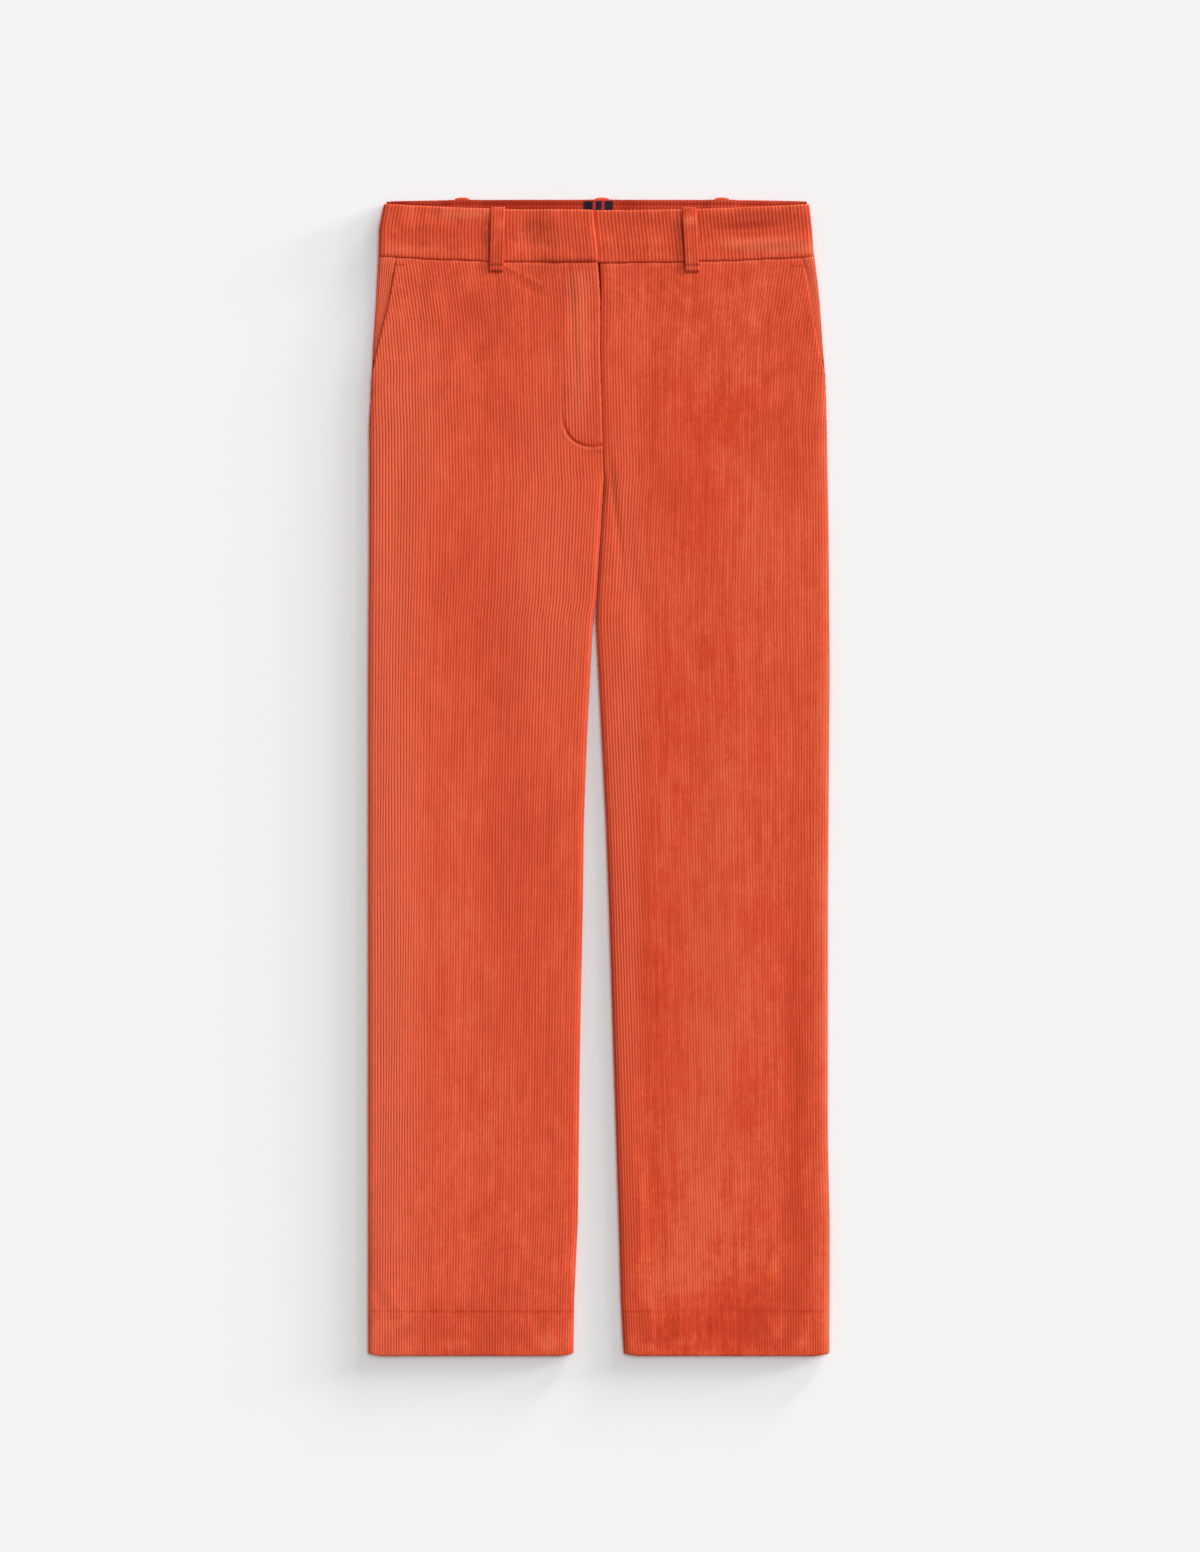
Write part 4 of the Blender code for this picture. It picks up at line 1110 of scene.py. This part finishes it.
def make_front_band(name, side):
    count = WALES_PER_BAND if side < 0 else WALES_PER_BAND + UNDERLAP_WALES
    wales = wale_columns(count)
    share, fold, below, standing = folded_top(np.linspace(FOLD_SHARE, 1, 34)[1:, None])
    edges, turns = front_band_edges(side, share), in_order(side, 1.0, 0.0)
    x = np.clip(lay_wales(edges, turns, wales, count), *edges)
    from_side, from_lap = in_order(side, *edge_distances(x, edges))
    nose = 2.6 * rounded(from_lap / CORNER) if side < 0 else 0.0
    start, seam = band_top_edge(x) + nose, waist_seam(x) - SEAM_GAP / 2
    drop = between(start, seam, share) + fold
    to_seam = seam - drop

    flat = front_band_base(side, x, drop) + BAND_WALL
    z = walled(x, flat, edges, turns, FRONT_BAND_SEAM_Z, EDGE_REACH)
    waves = soft_forms(drop, x, BAND_FORMS, BAND_FADE) * soft_ends(x, edges)
    z = z + waves * smooth((share - 0.02) / 0.1)
    z = z - np.minimum(below, z - FRONT_BAND_SEAM_Z + 0.2)
    climb, at_side = fly_climb(x) * (side < 0), smooth((22 - from_side) / 8)
    reach, depth = 1.0 + 5.0 * climb + 2.0 * at_side, 0.5 + 1.7 * climb + 0.7 * at_side
    z = z - edge_roll(to_seam, reach, depth) * (share > 0.5)
    # A painted highlight along the band's folded top edge.
    nap_and_shade = nap_and_shade_of(x, drop) - 0.09 + 0.26 * bell(drop - start, 1.6)
    left, right = edge_distances(x, edges)
    rise = np.clip(left / 1.2, 0, 1) * np.clip(right / 0.8, 0, 1)
    rise = rise * standing * (0.6 + 0.4 * smooth(to_seam / 1.2))
    if side < 0:
        z = z - edge_roll(from_lap, 1.5, 1.3)
        # A painted highlight along the end of the left band.
        nap_and_shade = nap_and_shade + 0.2 * smooth((3.0 - from_lap) / 1.2)
    else:
        rise = rise * (0.25 + 0.75 * smooth((x - lap_line(drop) - 0.3) / 2))
    mesh = wall(name, as_grid(x, drop, z), front_band_inside(side, turns), wales, rise, nap_and_shade)
    return in_corduroy(name, mesh, Wale_height=1.5 * WALE_RISE * MM)


bands = left_and_right(make_front_band, "waistband_%s_cloth")

# %% Waistband behind
BACK_LOOPS = {"left": -120.5, "centre": 2.6, "right": 108.2}
BACK_LOOP_WALL = 1.4
BACK_TOP = 1.9
BACK_BAND_SEAM_Z = BAND_SEAM_Z - SEAM_GAP / 2
STITCHED_SHARE, STITCHED_REACH = 0.08, 0.012  # the line of stitching under its top edge


def back_bump(x):
    """How far the loops under the back waistband lift it."""
    lift = np.zeros_like(x)
    for loop_x in BACK_LOOPS.values():
        lift = np.maximum(lift, smooth((19 - np.abs(x - loop_x)) / 11))
    return (BACK_LOOP_WALL + SEAM_GAP) * lift


def back_band_drop(x, share):
    start = BACK_TOP + 1.6 * (x / HALF_WAIST) ** 4
    return between(start, waist_seam(x) - 2.0 - SEAM_GAP, share)


def back_band_columns(share, wales):
    edges = (-SIDES[-1](4 + share * BAND_DEPTH), SIDES[1](4 + share * BAND_DEPTH))
    x = lay_wales((edges[0] + 2, edges[1] - 2), (0, 0), wales, 2 * WALES_PER_BAND)
    return edges, np.clip(x, *edges)


def make_back_band(name):
    wales, turns = wale_columns(2 * WALES_PER_BAND, BACK_WITHIN), (1.0, 1.0)
    down = np.array([0.04, 0.06, 0.075, 0.085, 0.1, 0.14, 0.2, 0.3, 0.5, 0.75, 1.0])[:, None]
    share, fold, below, standing = folded_top(down)
    edges, x = back_band_columns(share, wales)
    drop = back_band_drop(x, share) + fold
    flat = back_bump(x) + BAND_WALL
    z = walled(x, flat, edges, turns, BACK_BAND_SEAM_Z, EDGE_REACH + 1, BAND_WALL)
    z = z - np.minimum(below, z - 0.02)
    stitched = bell(share - STITCHED_SHARE, STITCHED_REACH)
    face = as_grid(x, drop, z - 0.35 * stitched)
    rise = 1.2 * soft_ends(x, edges, 3) * standing * (1 - 0.7 * stitched)
    # Painted shade: the inside of the back waistband is laid deep enough to turn the darkest red.
    nap_and_shade = nap_and_shade_of(x, drop + 400) - 0.78

    share = np.array([FOLD_SHARE, 0.055, 0.08, 0.12, 0.3, 0.5, 0.7, 0.9, 0.97, 1.0])[:, None]
    edges, x = back_band_columns(share, wales)
    z = walled(x, back_bump(x) + 0.25, edges, turns, BACK_BAND_SEAM_Z, BACK_EDGE_REACH)
    inside = as_grid(x, back_band_drop(x, share), z)
    within = (wales, 0.8 * soft_ends(x, edges, 3), nap_and_shade_of(x, 500) + 0.1)
    return in_corduroy(name, wall(name, face, inside, wales, rise, nap_and_shade, within))


back_band = make_back_band("waistband_back_cloth")

# %% [markdown]
# ## Belt loops
# A front loop is a narrow strip turned over the band's top edge and sewn down just below the
# waist seam. Its path over the band is a short table of drop and height, run through at even
# steps. The back loops lie under the back band and only their rounded tops show over it.

# %% Front loops
LOOP_WIDTH = 12.3
LOOP_WALES = 5
LOOP_BAND_Z = BAND_BASE_Z + BAND_WALL + WALE_RISE
LOOP_PANEL_Z = FRONT_TOP_Z + WALE_RISE + 0.2
LOOP_PATH_TOP = [
    # drop below the loop's top, height over the band
    (0.0, -2.2), (0.0, 0.2), (0.8, 1.4), (3.0, 2.1), (12.0, 3.2), (26.0, 3.7),
    (42.0, 3.2), (50.0, 2.6), (52.6, 2.0), (54.6, 2.3), (56.2, 1.5), (56.6, 0.6),
]
LOOP_PATH_UNDER = [
    (1.4, -2.2), (1.4, 0.0), (2.6, 0.4), (5.0, 0.5), (13.0, 1.6), (26.0, 2.1),
    (40.0, 1.7), (45.0, 0.9), (48.0, 0.4), (52.0, 0.35), (56.5, 0.3),
]
LOOP_LENGTH = LOOP_PATH_TOP[-1][0]


def path_rows(path, count):
    """Points at even steps along a path of rows, its corners eased: drops, then heights."""
    path = np.array(path)
    steps = np.concatenate([[0], np.cumsum(np.hypot(*np.diff(path, axis=0).T))])
    even = np.linspace(0, steps[-1], count)
    rows = np.stack([np.interp(even, steps, path[:, k]) for k in (0, 1)], -1)
    rows[1:-1] = 0.25 * rows[:-2] + 0.5 * rows[1:-1] + 0.25 * rows[2:]
    return rows[:, :1], rows[:, 1:]


def loop_grid(path, count, across, top_x, bottom_x):
    """Points along a loop's path; `across` runs from -1 to 1."""
    below, height = path_rows(path, count)
    level = between(LOOP_BAND_Z, LOOP_PANEL_Z, smooth((below - 49.5) / 2.5))
    x = between(top_x, bottom_x, below / LOOP_LENGTH) + across * LOOP_WIDTH / 2
    return as_grid(x, band_top_edge(top_x) - 1.75 + below, level + height)


def make_front_loop(name, top_x, bottom_x):
    wales = wale_columns(LOOP_WALES)
    across = 2 * wales / LOOP_WALES - 1
    edge = (1 - np.abs(across)) * LOOP_WIDTH / 2
    stitched = bell(edge - 1.9, 0.45)
    face = loop_grid(LOOP_PATH_TOP, 70, across, top_x, bottom_x)
    face[..., 2] -= 0.9 * rounded(edge / 1.4) + 0.22 * stitched
    inside = loop_grid(LOOP_PATH_UNDER, 30, np.linspace(-1, 1, 7), top_x, bottom_x)
    rise = np.clip(edge / 0.8, 0.25, 1.0) * (1 - 0.6 * stitched)
    # Painted highlight along both folded edges of the loop.
    nap_and_shade = nap_and_shade_of(face[..., 0] * 2, face[..., 1] * 2) - 0.1 + 0.24 * smooth((np.abs(across) - 0.6) / 0.3)
    return in_corduroy(name, wall(name, face, inside, wales, rise, nap_and_shade))


FRONT_LOOPS = [
    # side, x at the top, x at the bottom
    ("left", -88.6, -90.2),
    ("right", 79.3, 82.4),
]
front_loops = {side: make_front_loop(f"belt_loop_front_{side}_cloth", *ends) for side, *ends in FRONT_LOOPS}

# %% Back loops
BACK_LOOP_END = 51.0
LOOP_RIM_Z = BACK_LOOP_WALL + SEAM_GAP + BAND_WALL
BACK_LOOP_FACE = [
    # drop, height: over the band's top edge, then down underneath it
    (0.0, LOOP_RIM_Z - 2.0), (0.9, LOOP_RIM_Z - 0.7), (2.0, LOOP_RIM_Z - 0.55), (3.0, LOOP_RIM_Z - 1.5),
    (3.4, BACK_LOOP_WALL + 0.1), (4.4, BACK_LOOP_WALL), (BACK_LOOP_END, BACK_LOOP_WALL),
]
BACK_LOOP_UNDER = [(0.0, 1.0), (0.6, 0.0), (BACK_LOOP_END, 0.12)]


def make_back_loop(name, loop_x):
    wales = wale_columns(LOOP_WALES)
    across = 2 * wales / LOOP_WALES - 1
    plain = np.clip((1 - np.abs(across)) * 5, 0, 1)

    def at_top(below):
        return smooth((6 - below) / 4)

    def spread(below):
        """x and drop across the loop, whose top is rounded and a little wider."""
        x = loop_x + across * LOOP_WIDTH / 2 * (1 + 0.12 * at_top(below))
        return x, below + 1.5 * np.abs(across) ** 3 * at_top(below)

    below, height = path_rows(BACK_LOOP_FACE, 46)
    x, drop = spread(below)
    z = height - 0.9 * np.abs(across) ** 4 * at_top(below)
    face = as_grid(x, np.maximum(drop, 0.0), np.maximum(z, 0.7))
    under, height = path_rows(BACK_LOOP_UNDER, 14)
    inside = as_grid(*spread(under), height)
    within = (wales, 0.5 * plain * (under > 1.5), 0.0)
    mesh = wall(name, face, inside, wales, plain * (below < 3.0), -0.1, within)
    return in_corduroy(name, mesh, Unevenness=0.0)


back_loops = {side: make_back_loop(f"belt_loop_back_{side}_cloth", x) for side, x in BACK_LOOPS.items()}

# %% [markdown]
# ## The fly
# Behind the fly edge lie a shield of the same corduroy and the zip on its woven tape. Most of
# it is hidden, but a sliver shows at the top where the edge stands open. Its teeth and all
# the stitches are small repeated pieces in a row along a line, so one tree sets them all.

# %% The tree that sets small pieces in a row
SEGMENTS, RINGS = 6, 4


def row_tree():
    inputs = {
        "Pitch": ("Float", 0.0028),
        "Across": ("Float", 0.0005),
        "High": ("Float", 0.0004),
        "Along": ("Float", 0.0024),
        "Seed": ("Int", 3),
        "Material": ("Material", None),
    }
    tree, given, out = new_tree("row_of_small_pieces", inputs)
    curve = add(tree, "GeometryNodeMeshToCurve", {0: given["Geometry"]}).outputs[0]
    level = add(tree, "GeometryNodeSetCurveNormal", {0: curve}, mode="Z_UP").outputs[0]
    inputs = {"Curve": level, "Length": given["Pitch"]}
    points = add(tree, "GeometryNodeCurveToPoints", inputs, mode="LENGTH").outputs
    inputs = {"Segments": SEGMENTS, "Rings": RINGS, "Radius": 0.5}
    small = add(tree, "GeometryNodeMeshUVSphere", inputs).outputs[0]
    inputs = {2: 0.85, 3: 1.12, "Seed": given["Seed"]}
    uneven = add(tree, "FunctionNodeRandomValue", inputs, data_type="FLOAT").outputs[1]
    inputs = {"X": given["Across"], "Y": given["High"], "Z": given["Along"]}
    size = add(tree, "ShaderNodeCombineXYZ", inputs).outputs[0]
    inputs = {
        "Points": points["Points"], "Rotation": points["Rotation"],
        "Instance": small, "Scale": scaled(tree, size, uneven),
    }
    row = add(tree, "GeometryNodeInstanceOnPoints", inputs).outputs[0]
    return end_tree(tree, given, out, row)


ROW_TREE = row_tree()


def line_mesh(name, lines):
    """A mesh of open lines, each a list of (x, drop, z) points."""
    points, edges = [], []
    for line in lines:
        start = len(points)
        points += line
        edges += [(start + k, start + k + 1) for k in range(len(line) - 1)]
    mesh = bpy.data.meshes.new(name)
    mesh.from_pydata(in_metres(points), edges, [])
    return mesh


def in_a_row(name, lines, **settings):
    return plain_result(name, line_mesh(name + "_line", lines), ROW_TREE, **settings)


# %% [markdown]
# Zip tape is a flat herringbone weave, thread is twisted, and the slider is satin metal. Each
# gets its own small material: a wave for the weave or the twist, and a scratched roughness
# for the metal.

# %% Materials of tape, thread and metal
def woven(name, color, dark, pitch):
    material, tree, shader = new_material(name)
    inputs = {"Vector": stretched(tree, [1 / pitch] * 3), "Scale": 0.16, "Distortion": 0.6, "Detail": 1.0}
    ribs = add(tree, "ShaderNodeTexWave", inputs, bands_direction="DIAGONAL").outputs["Fac"]
    grain = noise(tree, (900, 900, 900))
    shade = maths(tree, "MULTIPLY_ADD", grain, 0.4, maths(tree, "MULTIPLY", ribs, 0.6))
    fill(tree, shader, {
        "Base Color": ramp(tree, shade, (0.2, dark), (0.8, color)),
        "Roughness": maths(tree, "MULTIPLY_ADD", grain, 0.2, 0.6),
        "Normal": bump(tree, ribs, 0.5),
        "Specular IOR Level": 0.25,
        "Sheen Weight": 0.1,
    })
    return material


def satin_metal(name):
    material, tree, shader = new_material(name)
    brushed = noise(tree, (300, 6000, 300))
    fill(tree, shader, {
        "Base Color": ramp(tree, brushed, (0.3, (0.52, 0.51, 0.49, 1)), (0.7, (0.7, 0.69, 0.67, 1))),
        "Roughness": maths(tree, "MULTIPLY_ADD", brushed, 0.2, 0.25),
        "Metallic": 1.0,
    })
    return material


TAPE = woven("zip_tape_weave", (0.42, 0.03, 0.018, 1), (0.2, 0.012, 0.008, 1), 0.0006)
THREAD = woven("sewing_thread", (0.66, 0.10, 0.045, 1), (0.44, 0.045, 0.02, 1), 0.0003)
METAL = satin_metal("satin_metal")
print("materials so far:", [material.name for material in (CORDUROY, TAPE, THREAD, METAL)])

# %% Fly shield, zip tape and teeth
SHIELD_Z = (1.95, 2.8)
SHIELD_WALES = 18
TAPE_Z = (3.4, 3.9)
TAPE_HALF = 13
TEETH_Z = 4.12
ZIP_SIDE = -9.0  # the zip lies a little to the left of the fly edge


def strip(name, drop, edges, heights, count, rise, **settings):
    """A flat strip between two edges and two heights, with `count` columns of wales."""
    wales = wale_columns(count)
    x = between(*edges, wales / count)
    away = nearest_edge(x, edges)
    face = as_grid(x, drop, heights[1] - 0.3 * rounded(away))
    inside = as_grid(between(*edges, np.linspace(0, 1, 5)), drop, heights[0])
    mesh = wall(name, face, inside, wales, rise * np.clip(away / 1.2, 0, 1), -0.15)
    return plain_result(name, mesh, WALE_TREE, **settings)


shield_rows = rows_of(59.0, (180, 6), (222, 3))
fly_x, narrowing = INNERS[-1](shield_rows), smooth((shield_rows - 180) / 42)
shield = strip(
    "fly_shield_cloth", shield_rows, (fly_x - 28 + 14 * narrowing, fly_x + 20 - 12 * narrowing),
    SHIELD_Z, SHIELD_WALES, 1.0, Wale_height=0.0003, Material=CORDUROY,
)
tape_rows = rows_of(60.0, (212, 4))
tape_x = INNERS[-1](tape_rows) + ZIP_SIDE
tape_edges = (tape_x - TAPE_HALF, tape_x + TAPE_HALF)
tape = strip("zip_tape_cloth", tape_rows, tape_edges, TAPE_Z, 6, 0.0, Material=TAPE)
chain = [(float(INNERS[-1](d)) + ZIP_SIDE, d, TEETH_Z) for d in np.linspace(74, 210, 35)]
teeth = in_a_row(
    "zip_teeth", [chain], Pitch=0.0015, Across=0.0043, High=0.0006, Along=0.0011, Material=TAPE,
)
print("zip teeth:", len(teeth.data.polygons) // (SEGMENTS * RINGS))


# %% Slider and hook
def rounded_outline(x, drop, half_x, half_drop, corner, steps=5):
    points = []
    for quarter, (sx, sy) in enumerate(((1, 1), (-1, 1), (-1, -1), (1, -1))):
        for k in range(steps + 1):
            angle = math.pi / 2 * (quarter + k / steps)
            cx, cy = x + sx * (half_x - corner), drop + sy * (half_drop - corner)
            points.append((cx + corner * math.cos(angle), cy + corner * math.sin(angle)))
    return points


def plate(name, low, high, bevel, *outline):
    """A small metal plate with rounded corners, its edges bevelled."""
    outline = rounded_outline(*outline)
    points = [(x, drop, z) for z in (low, high) for x, drop in outline]
    count = len(outline)
    faces = [tuple(range(count))[::-1], tuple(range(count, 2 * count))]
    faces += [(k, (k + 1) % count, count + (k + 1) % count, count + k) for k in range(count)]
    mesh = closed_mesh(name, points, faces, 40, bevel)
    mesh.materials.append(METAL)
    return new_object(name, mesh)


slider_x = float(INNERS[-1](66)) + ZIP_SIDE
hook_x = float(lap_line(32)) - 15
PLATES = [
    # name, underside, top, bevel, then the middle's x and drop, half sizes across and down, corner
    ("zip_slider_body", 4.2, 5.1, 0.15, slider_x, 67, 4.0, 5.0, 1.5),
    ("zip_slider_pull", 4.8, 5.1, 0.08, slider_x, 79.2, 2.2, 6.8, 1.2),
    ("waist_hook_plate", 8.2, 8.6, 0.1, hook_x, 33, 7.0, 7.0, 2.0),
]
slider, slider_pull, hook = (plate(*row) for row in PLATES)
print("slider at x", round(slider_x, 1), " hook at x", round(hook_x, 1))

# %% [markdown]
# ## The woven tape inside the back waistband
# A small navy tape with thin red lines is sewn to the inside of the back. It is a plain
# design of our own with no lettering. Its stripes come from its own Object coordinates.

# %% Label tape
LABEL_ENDS = (-12.8, 12.2)
LABEL_OVER = 0.75 * WALE_RISE + 0.15
LABEL_WALL = 0.45
STRIPES = (-0.0042, 0.0036)
STRIPE_HALF = 0.0012


def label_finish(name):
    material, tree, shader = new_material(name)
    where = add(tree, "ShaderNodeSeparateXYZ", {0: own_place(tree)}).outputs[0]
    lines = []
    for middle in STRIPES:
        away = maths(tree, "ABSOLUTE", maths(tree, "SUBTRACT", where, middle))
        lines.append(maths(tree, "LESS_THAN", away, STRIPE_HALF))
    grain = noise(tree, (2500, 900, 900))
    navy = ramp(tree, grain, (0.3, (0.006, 0.004, 0.012, 1)), (0.7, (0.022, 0.016, 0.034, 1)))
    red = ramp(tree, grain, (0.3, (0.40, 0.012, 0.016, 1)), (0.7, (0.62, 0.03, 0.035, 1)))
    fill(tree, shader, {
        "Base Color": mix_color(tree, maths(tree, "MAXIMUM", *lines), navy, red),
        "Roughness": maths(tree, "MULTIPLY_ADD", grain, 0.2, 0.65),
        "Normal": bump(tree, grain, 0.4),
        "Specular IOR Level": 0.2,
    })
    return material


LABEL_FINISH = label_finish("label_weave")
label_x = np.linspace(*LABEL_ENDS, 41)
label_z = back_bump(label_x) + BAND_WALL + LABEL_OVER
label_face, label_under = (
    as_grid(label_x, rows_of(3.4, (6, 0.6), (36, 3)), z) for z in (label_z + LABEL_WALL, label_z)
)
label_mesh = wall("label_tape_cloth", label_face, label_under, 0.0, 0.0, 0.0)
label = plain_result("label_tape_cloth", label_mesh, WALE_TREE, Material=LABEL_FINISH)

# %% [markdown]
# ## Sewing
# Thread is the smallest thing that shows. It sinks into the pile along the fly's curve, tacks
# the pocket mouths and the loops, and catches the hem from behind every few millimetres. The
# lines are worked out from the same height functions as the cloth, so every stitch sits in it.

# %% Stitches
def on_front(side, x, drop, over):
    """Points on a front panel's face, a little over it."""
    x, drop = np.broadcast_arrays(np.asarray(x, float), np.asarray(drop, float))
    edges, _ = front_edges(side, drop)
    z = front_face(side, x, drop) + front_details(side, x, drop, edges) + over
    return list(zip(x.tolist(), waist_drop(x, drop).tolist(), z.tolist()))


def stitches(name, lines, pitch=0.0027, along=0.0022, across=0.0005):
    sizes = {"Pitch": pitch, "Along": along, "Across": across, "High": 0.0004}
    return in_a_row(name, lines, Material=THREAD, **sizes)


steps = np.linspace(1.8, 10.4, 36)
fly_points = (np.interp(steps, range(len(FLY_CURVE)), values) for values in zip(*FLY_CURVE))
fly_stitches = stitches("fly_stitches", [on_front(-1, *fly_points, 0.15)])

TACKS = [
    # side, x from and to, drop
    (-1, (-179.0, -170.0), 63.6),
    (1, (170.0, 178.6), 64.2),
]
tack_lines = [
    on_front(side, np.linspace(*ends, 8), drop + shift, 0.35)
    for side, ends, drop in TACKS for shift in (0.0, 0.7)
]
tacks = stitches("pocket_tacks", tack_lines, pitch=0.0016, along=0.0014)

hem_lines = []
for side in (-1, 1):
    ends = in_order(side, side * float(SIDES[side](HEM_START)), float(INNERS[side](HEM_START)))
    hem_lines.append(on_front(side, np.linspace(ends[0] + 6, ends[1] - 6, 40), HEM_START, 0.35))
hem_stitches = stitches("hem_stitches", hem_lines, pitch=0.0062, along=0.0012, across=0.0004)

loop_lines = []
for side, *ends in FRONT_LOOPS:
    for edge in (-0.7, 0.7):
        grid = loop_grid(LOOP_PATH_TOP, 40, edge, *ends)[6:-2, 0]
        loop_lines.append([(x, drop, z + 0.12) for x, drop, z in grid])
    grid = loop_grid(LOOP_PATH_TOP, 70, np.linspace(-0.82, 0.82, 8), *ends)
    for row in (-9, -8):
        loop_lines.append([(x, drop, z + 0.3) for x, drop, z in grid[row]])
loop_stitches = stitches("loop_stitches", loop_lines, pitch=0.0023, along=0.0018, across=0.00045)
sewing = [fly_stitches, tacks, hem_stitches, loop_stitches]
print("stitches:", sum(len(piece.data.polygons) for piece in sewing) // (SEGMENTS * RINGS))

# %% [markdown]
# ## Each piece on its body, in place of its node
# Nothing here moves, so every piece rides on the one body, root. Each cloth piece stands for
# its imported node, which is hidden. The table also lists the size it was cut to: the widths
# are those of the pattern piece that shows, with its turned hem, and the area is what lies
# there flat.

# %% Ride and replace
LEFT_LEG, RIGHT_LEG = "back_left_cloth", "back_right_cloth"
CLOTH = [
    # piece, node, cut width, cut length, flat area, what it rests on
    (fronts[-1], "front_left", 0.215, 1.005, 0.194, [LEFT_LEG]),
    (fronts[1], "front_right", 0.215, 1.005, 0.192, [RIGHT_LEG]),
    (backs[-1], "back_left", 0.215, 1.005, 0.194, ["floor"]),
    (backs[1], "back_right", 0.215, 1.005, 0.192, ["floor"]),
    (facings[-1], "pocket_facing_left", 0.05, 0.09, 0.0032, [LEFT_LEG]),
    (facings[1], "pocket_facing_right", 0.05, 0.09, 0.0030, [RIGHT_LEG]),
    (bands[-1], "waistband_front_left", 0.2, 0.05, 0.0095, ["front_left_cloth"]),
    (bands[1], "waistband_front_right", 0.225, 0.05, 0.0108, ["front_right_cloth"]),
    (back_band, "waistband_back", 0.39, 0.054, 0.0195, ["floor"]),
    (shield, "fly_shield", 0.048, 0.163, 0.0072, [LEFT_LEG, RIGHT_LEG]),
]
for side, piece in front_loops.items():
    band = f"waistband_{side}_cloth"
    CLOTH.append((piece, "belt_loop_front_" + side, 0.0123, 0.062, 0.00076, [band]))
for side, piece in back_loops.items():
    CLOTH.append((piece, "belt_loop_back_" + side, 0.0123, 0.055, 0.00067, ["floor"]))
for piece, node, width, length, area, under in CLOTH:
    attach(piece, "root")
    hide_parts(node)

SMALL = [
    # piece, node it stands for, material slot
    (tape, "fly_zip", "zip_tape"),
    (teeth, None, "zip_tape"),
    (slider, "zip_slider", "hardware"),
    (slider_pull, None, "hardware"),
    (hook, "waist_hook", "hardware"),
    (label, "label_tape", "label_cloth"),
    (fly_stitches, None, "corduroy"),
    (tacks, None, "corduroy"),
    (hem_stitches, None, "corduroy"),
    (loop_stitches, None, "corduroy"),
]
for piece, node, slot in SMALL:
    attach(piece, "root")
    if node:
        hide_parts(node)
print("declared sheets:", len(CLOTH) + 2)

# %% [markdown]
# ## Floor and light
# The floor is a plain pale sheet. Suns light a large flat piece evenly, where a nearby lamp
# would fade across it. A soft key comes from the upper right, and a lower sun rakes over the
# cloth, which models the wales and the folds. Light linking keeps these two off the floor.
# The floor has suns of its own, from near level to nearly overhead. A garment a finger thick
# throws only a thin shadow, so the low ones stretch it and the spread of angles softens it.

# %% Floor
FLOOR_REACH = 4.0
FLOOR_Z = -0.0003
corners = [(x * FLOOR_REACH, y * FLOOR_REACH, FLOOR_Z) for x, y in ((-1, -1), (1, -1), (1, 1), (-1, 1))]
floor_mesh = bpy.data.meshes.new("floor")
floor_mesh.from_pydata(corners, [], [(0, 1, 2, 3)])
floor = new_object("floor", floor_mesh)
floor_finish, floor_tree, floor_shader = new_material("pale_floor")
fill(floor_tree, floor_shader, {
    "Base Color": (0.815, 0.806, 0.81, 1), "Roughness": 0.9, "Specular IOR Level": 0.1,
})
floor_mesh.materials.append(floor_finish)
print("floor:", 2 * FLOOR_REACH, "m square")

# %% Light
CLOTH_SUNS = [
    # name, azimuth (0 from -Y, 90 from +X), elevation, strength, softness
    ("key_light", 140, 40, 1.9, 30),
    ("raking_light", 124, 18, 1.9, 14),
]
FLOOR_SUNS = [
    # azimuth, elevation, strength, softness
    (110, 4, 3.3, 6), (145, 5, 2.4, 7), (118, 9, 1.9, 10), (155, 10, 1.1, 12),
    (128, 18, 0.7, 16), (140, 65, 1.29, 30),
]
SKY = 0.38


def sun(name, azimuth, elevation, strength, softness):
    lamp = bpy.data.lights.new(name, "SUN")
    lamp.energy = strength
    lamp.angle = math.radians(softness)
    thing = new_object(name, lamp)
    thing.rotation_euler = (math.radians(90 - elevation), 0, math.radians(azimuth))
    return thing


def link_light(name, lamps):
    """Gives lamps a collection of what they light, with the floor as its one entry."""
    collection = bpy.data.collections.new(name)
    collection.objects.link(floor)
    for lamp in lamps:
        lamp.light_linking.receiver_collection = collection
    return collection.collection_objects[0].light_linking


cloth_suns = [sun(*row) for row in CLOTH_SUNS]
floor_suns = [sun("floor_light_%d" % n, *row) for n, row in enumerate(FLOOR_SUNS, 1)]
link_light("floor_only", floor_suns)
link_light("all_but_floor", cloth_suns).link_state = "EXCLUDE"
world = bpy.data.worlds.new("studio")
world.use_nodes = True
sky = {"Strength": SKY, "Color": (1, 1, 1, 1)}
fill(world.node_tree, world.node_tree.nodes["Background"], sky)
bpy.context.scene.world = world
print("suns on the cloth: %d, on the floor: %d" % (len(cloth_suns), len(floor_suns)))

# %% [markdown]
# ## The camera
# The camera looks straight down. Its height follows from the lens and from how much of the
# floor the frame takes in: 1366 mm from top to bottom.

# %% Camera
FRAME_HEIGHT = 1.366
FRAME_MIDDLE = (0.0009, 0.0004, 0.006)
lens = bpy.data.cameras.new("overhead")
lens.lens = 85
lens.sensor_width = 36
camera = new_object("overhead", lens)
camera.location = FRAME_MIDDLE
camera.location.z += FRAME_HEIGHT * lens.lens / lens.sensor_width
bpy.context.scene.camera = camera
bpy.context.scene.view_settings.view_transform = "Standard"
print("camera height:", round(camera.location.z, 3), "m")
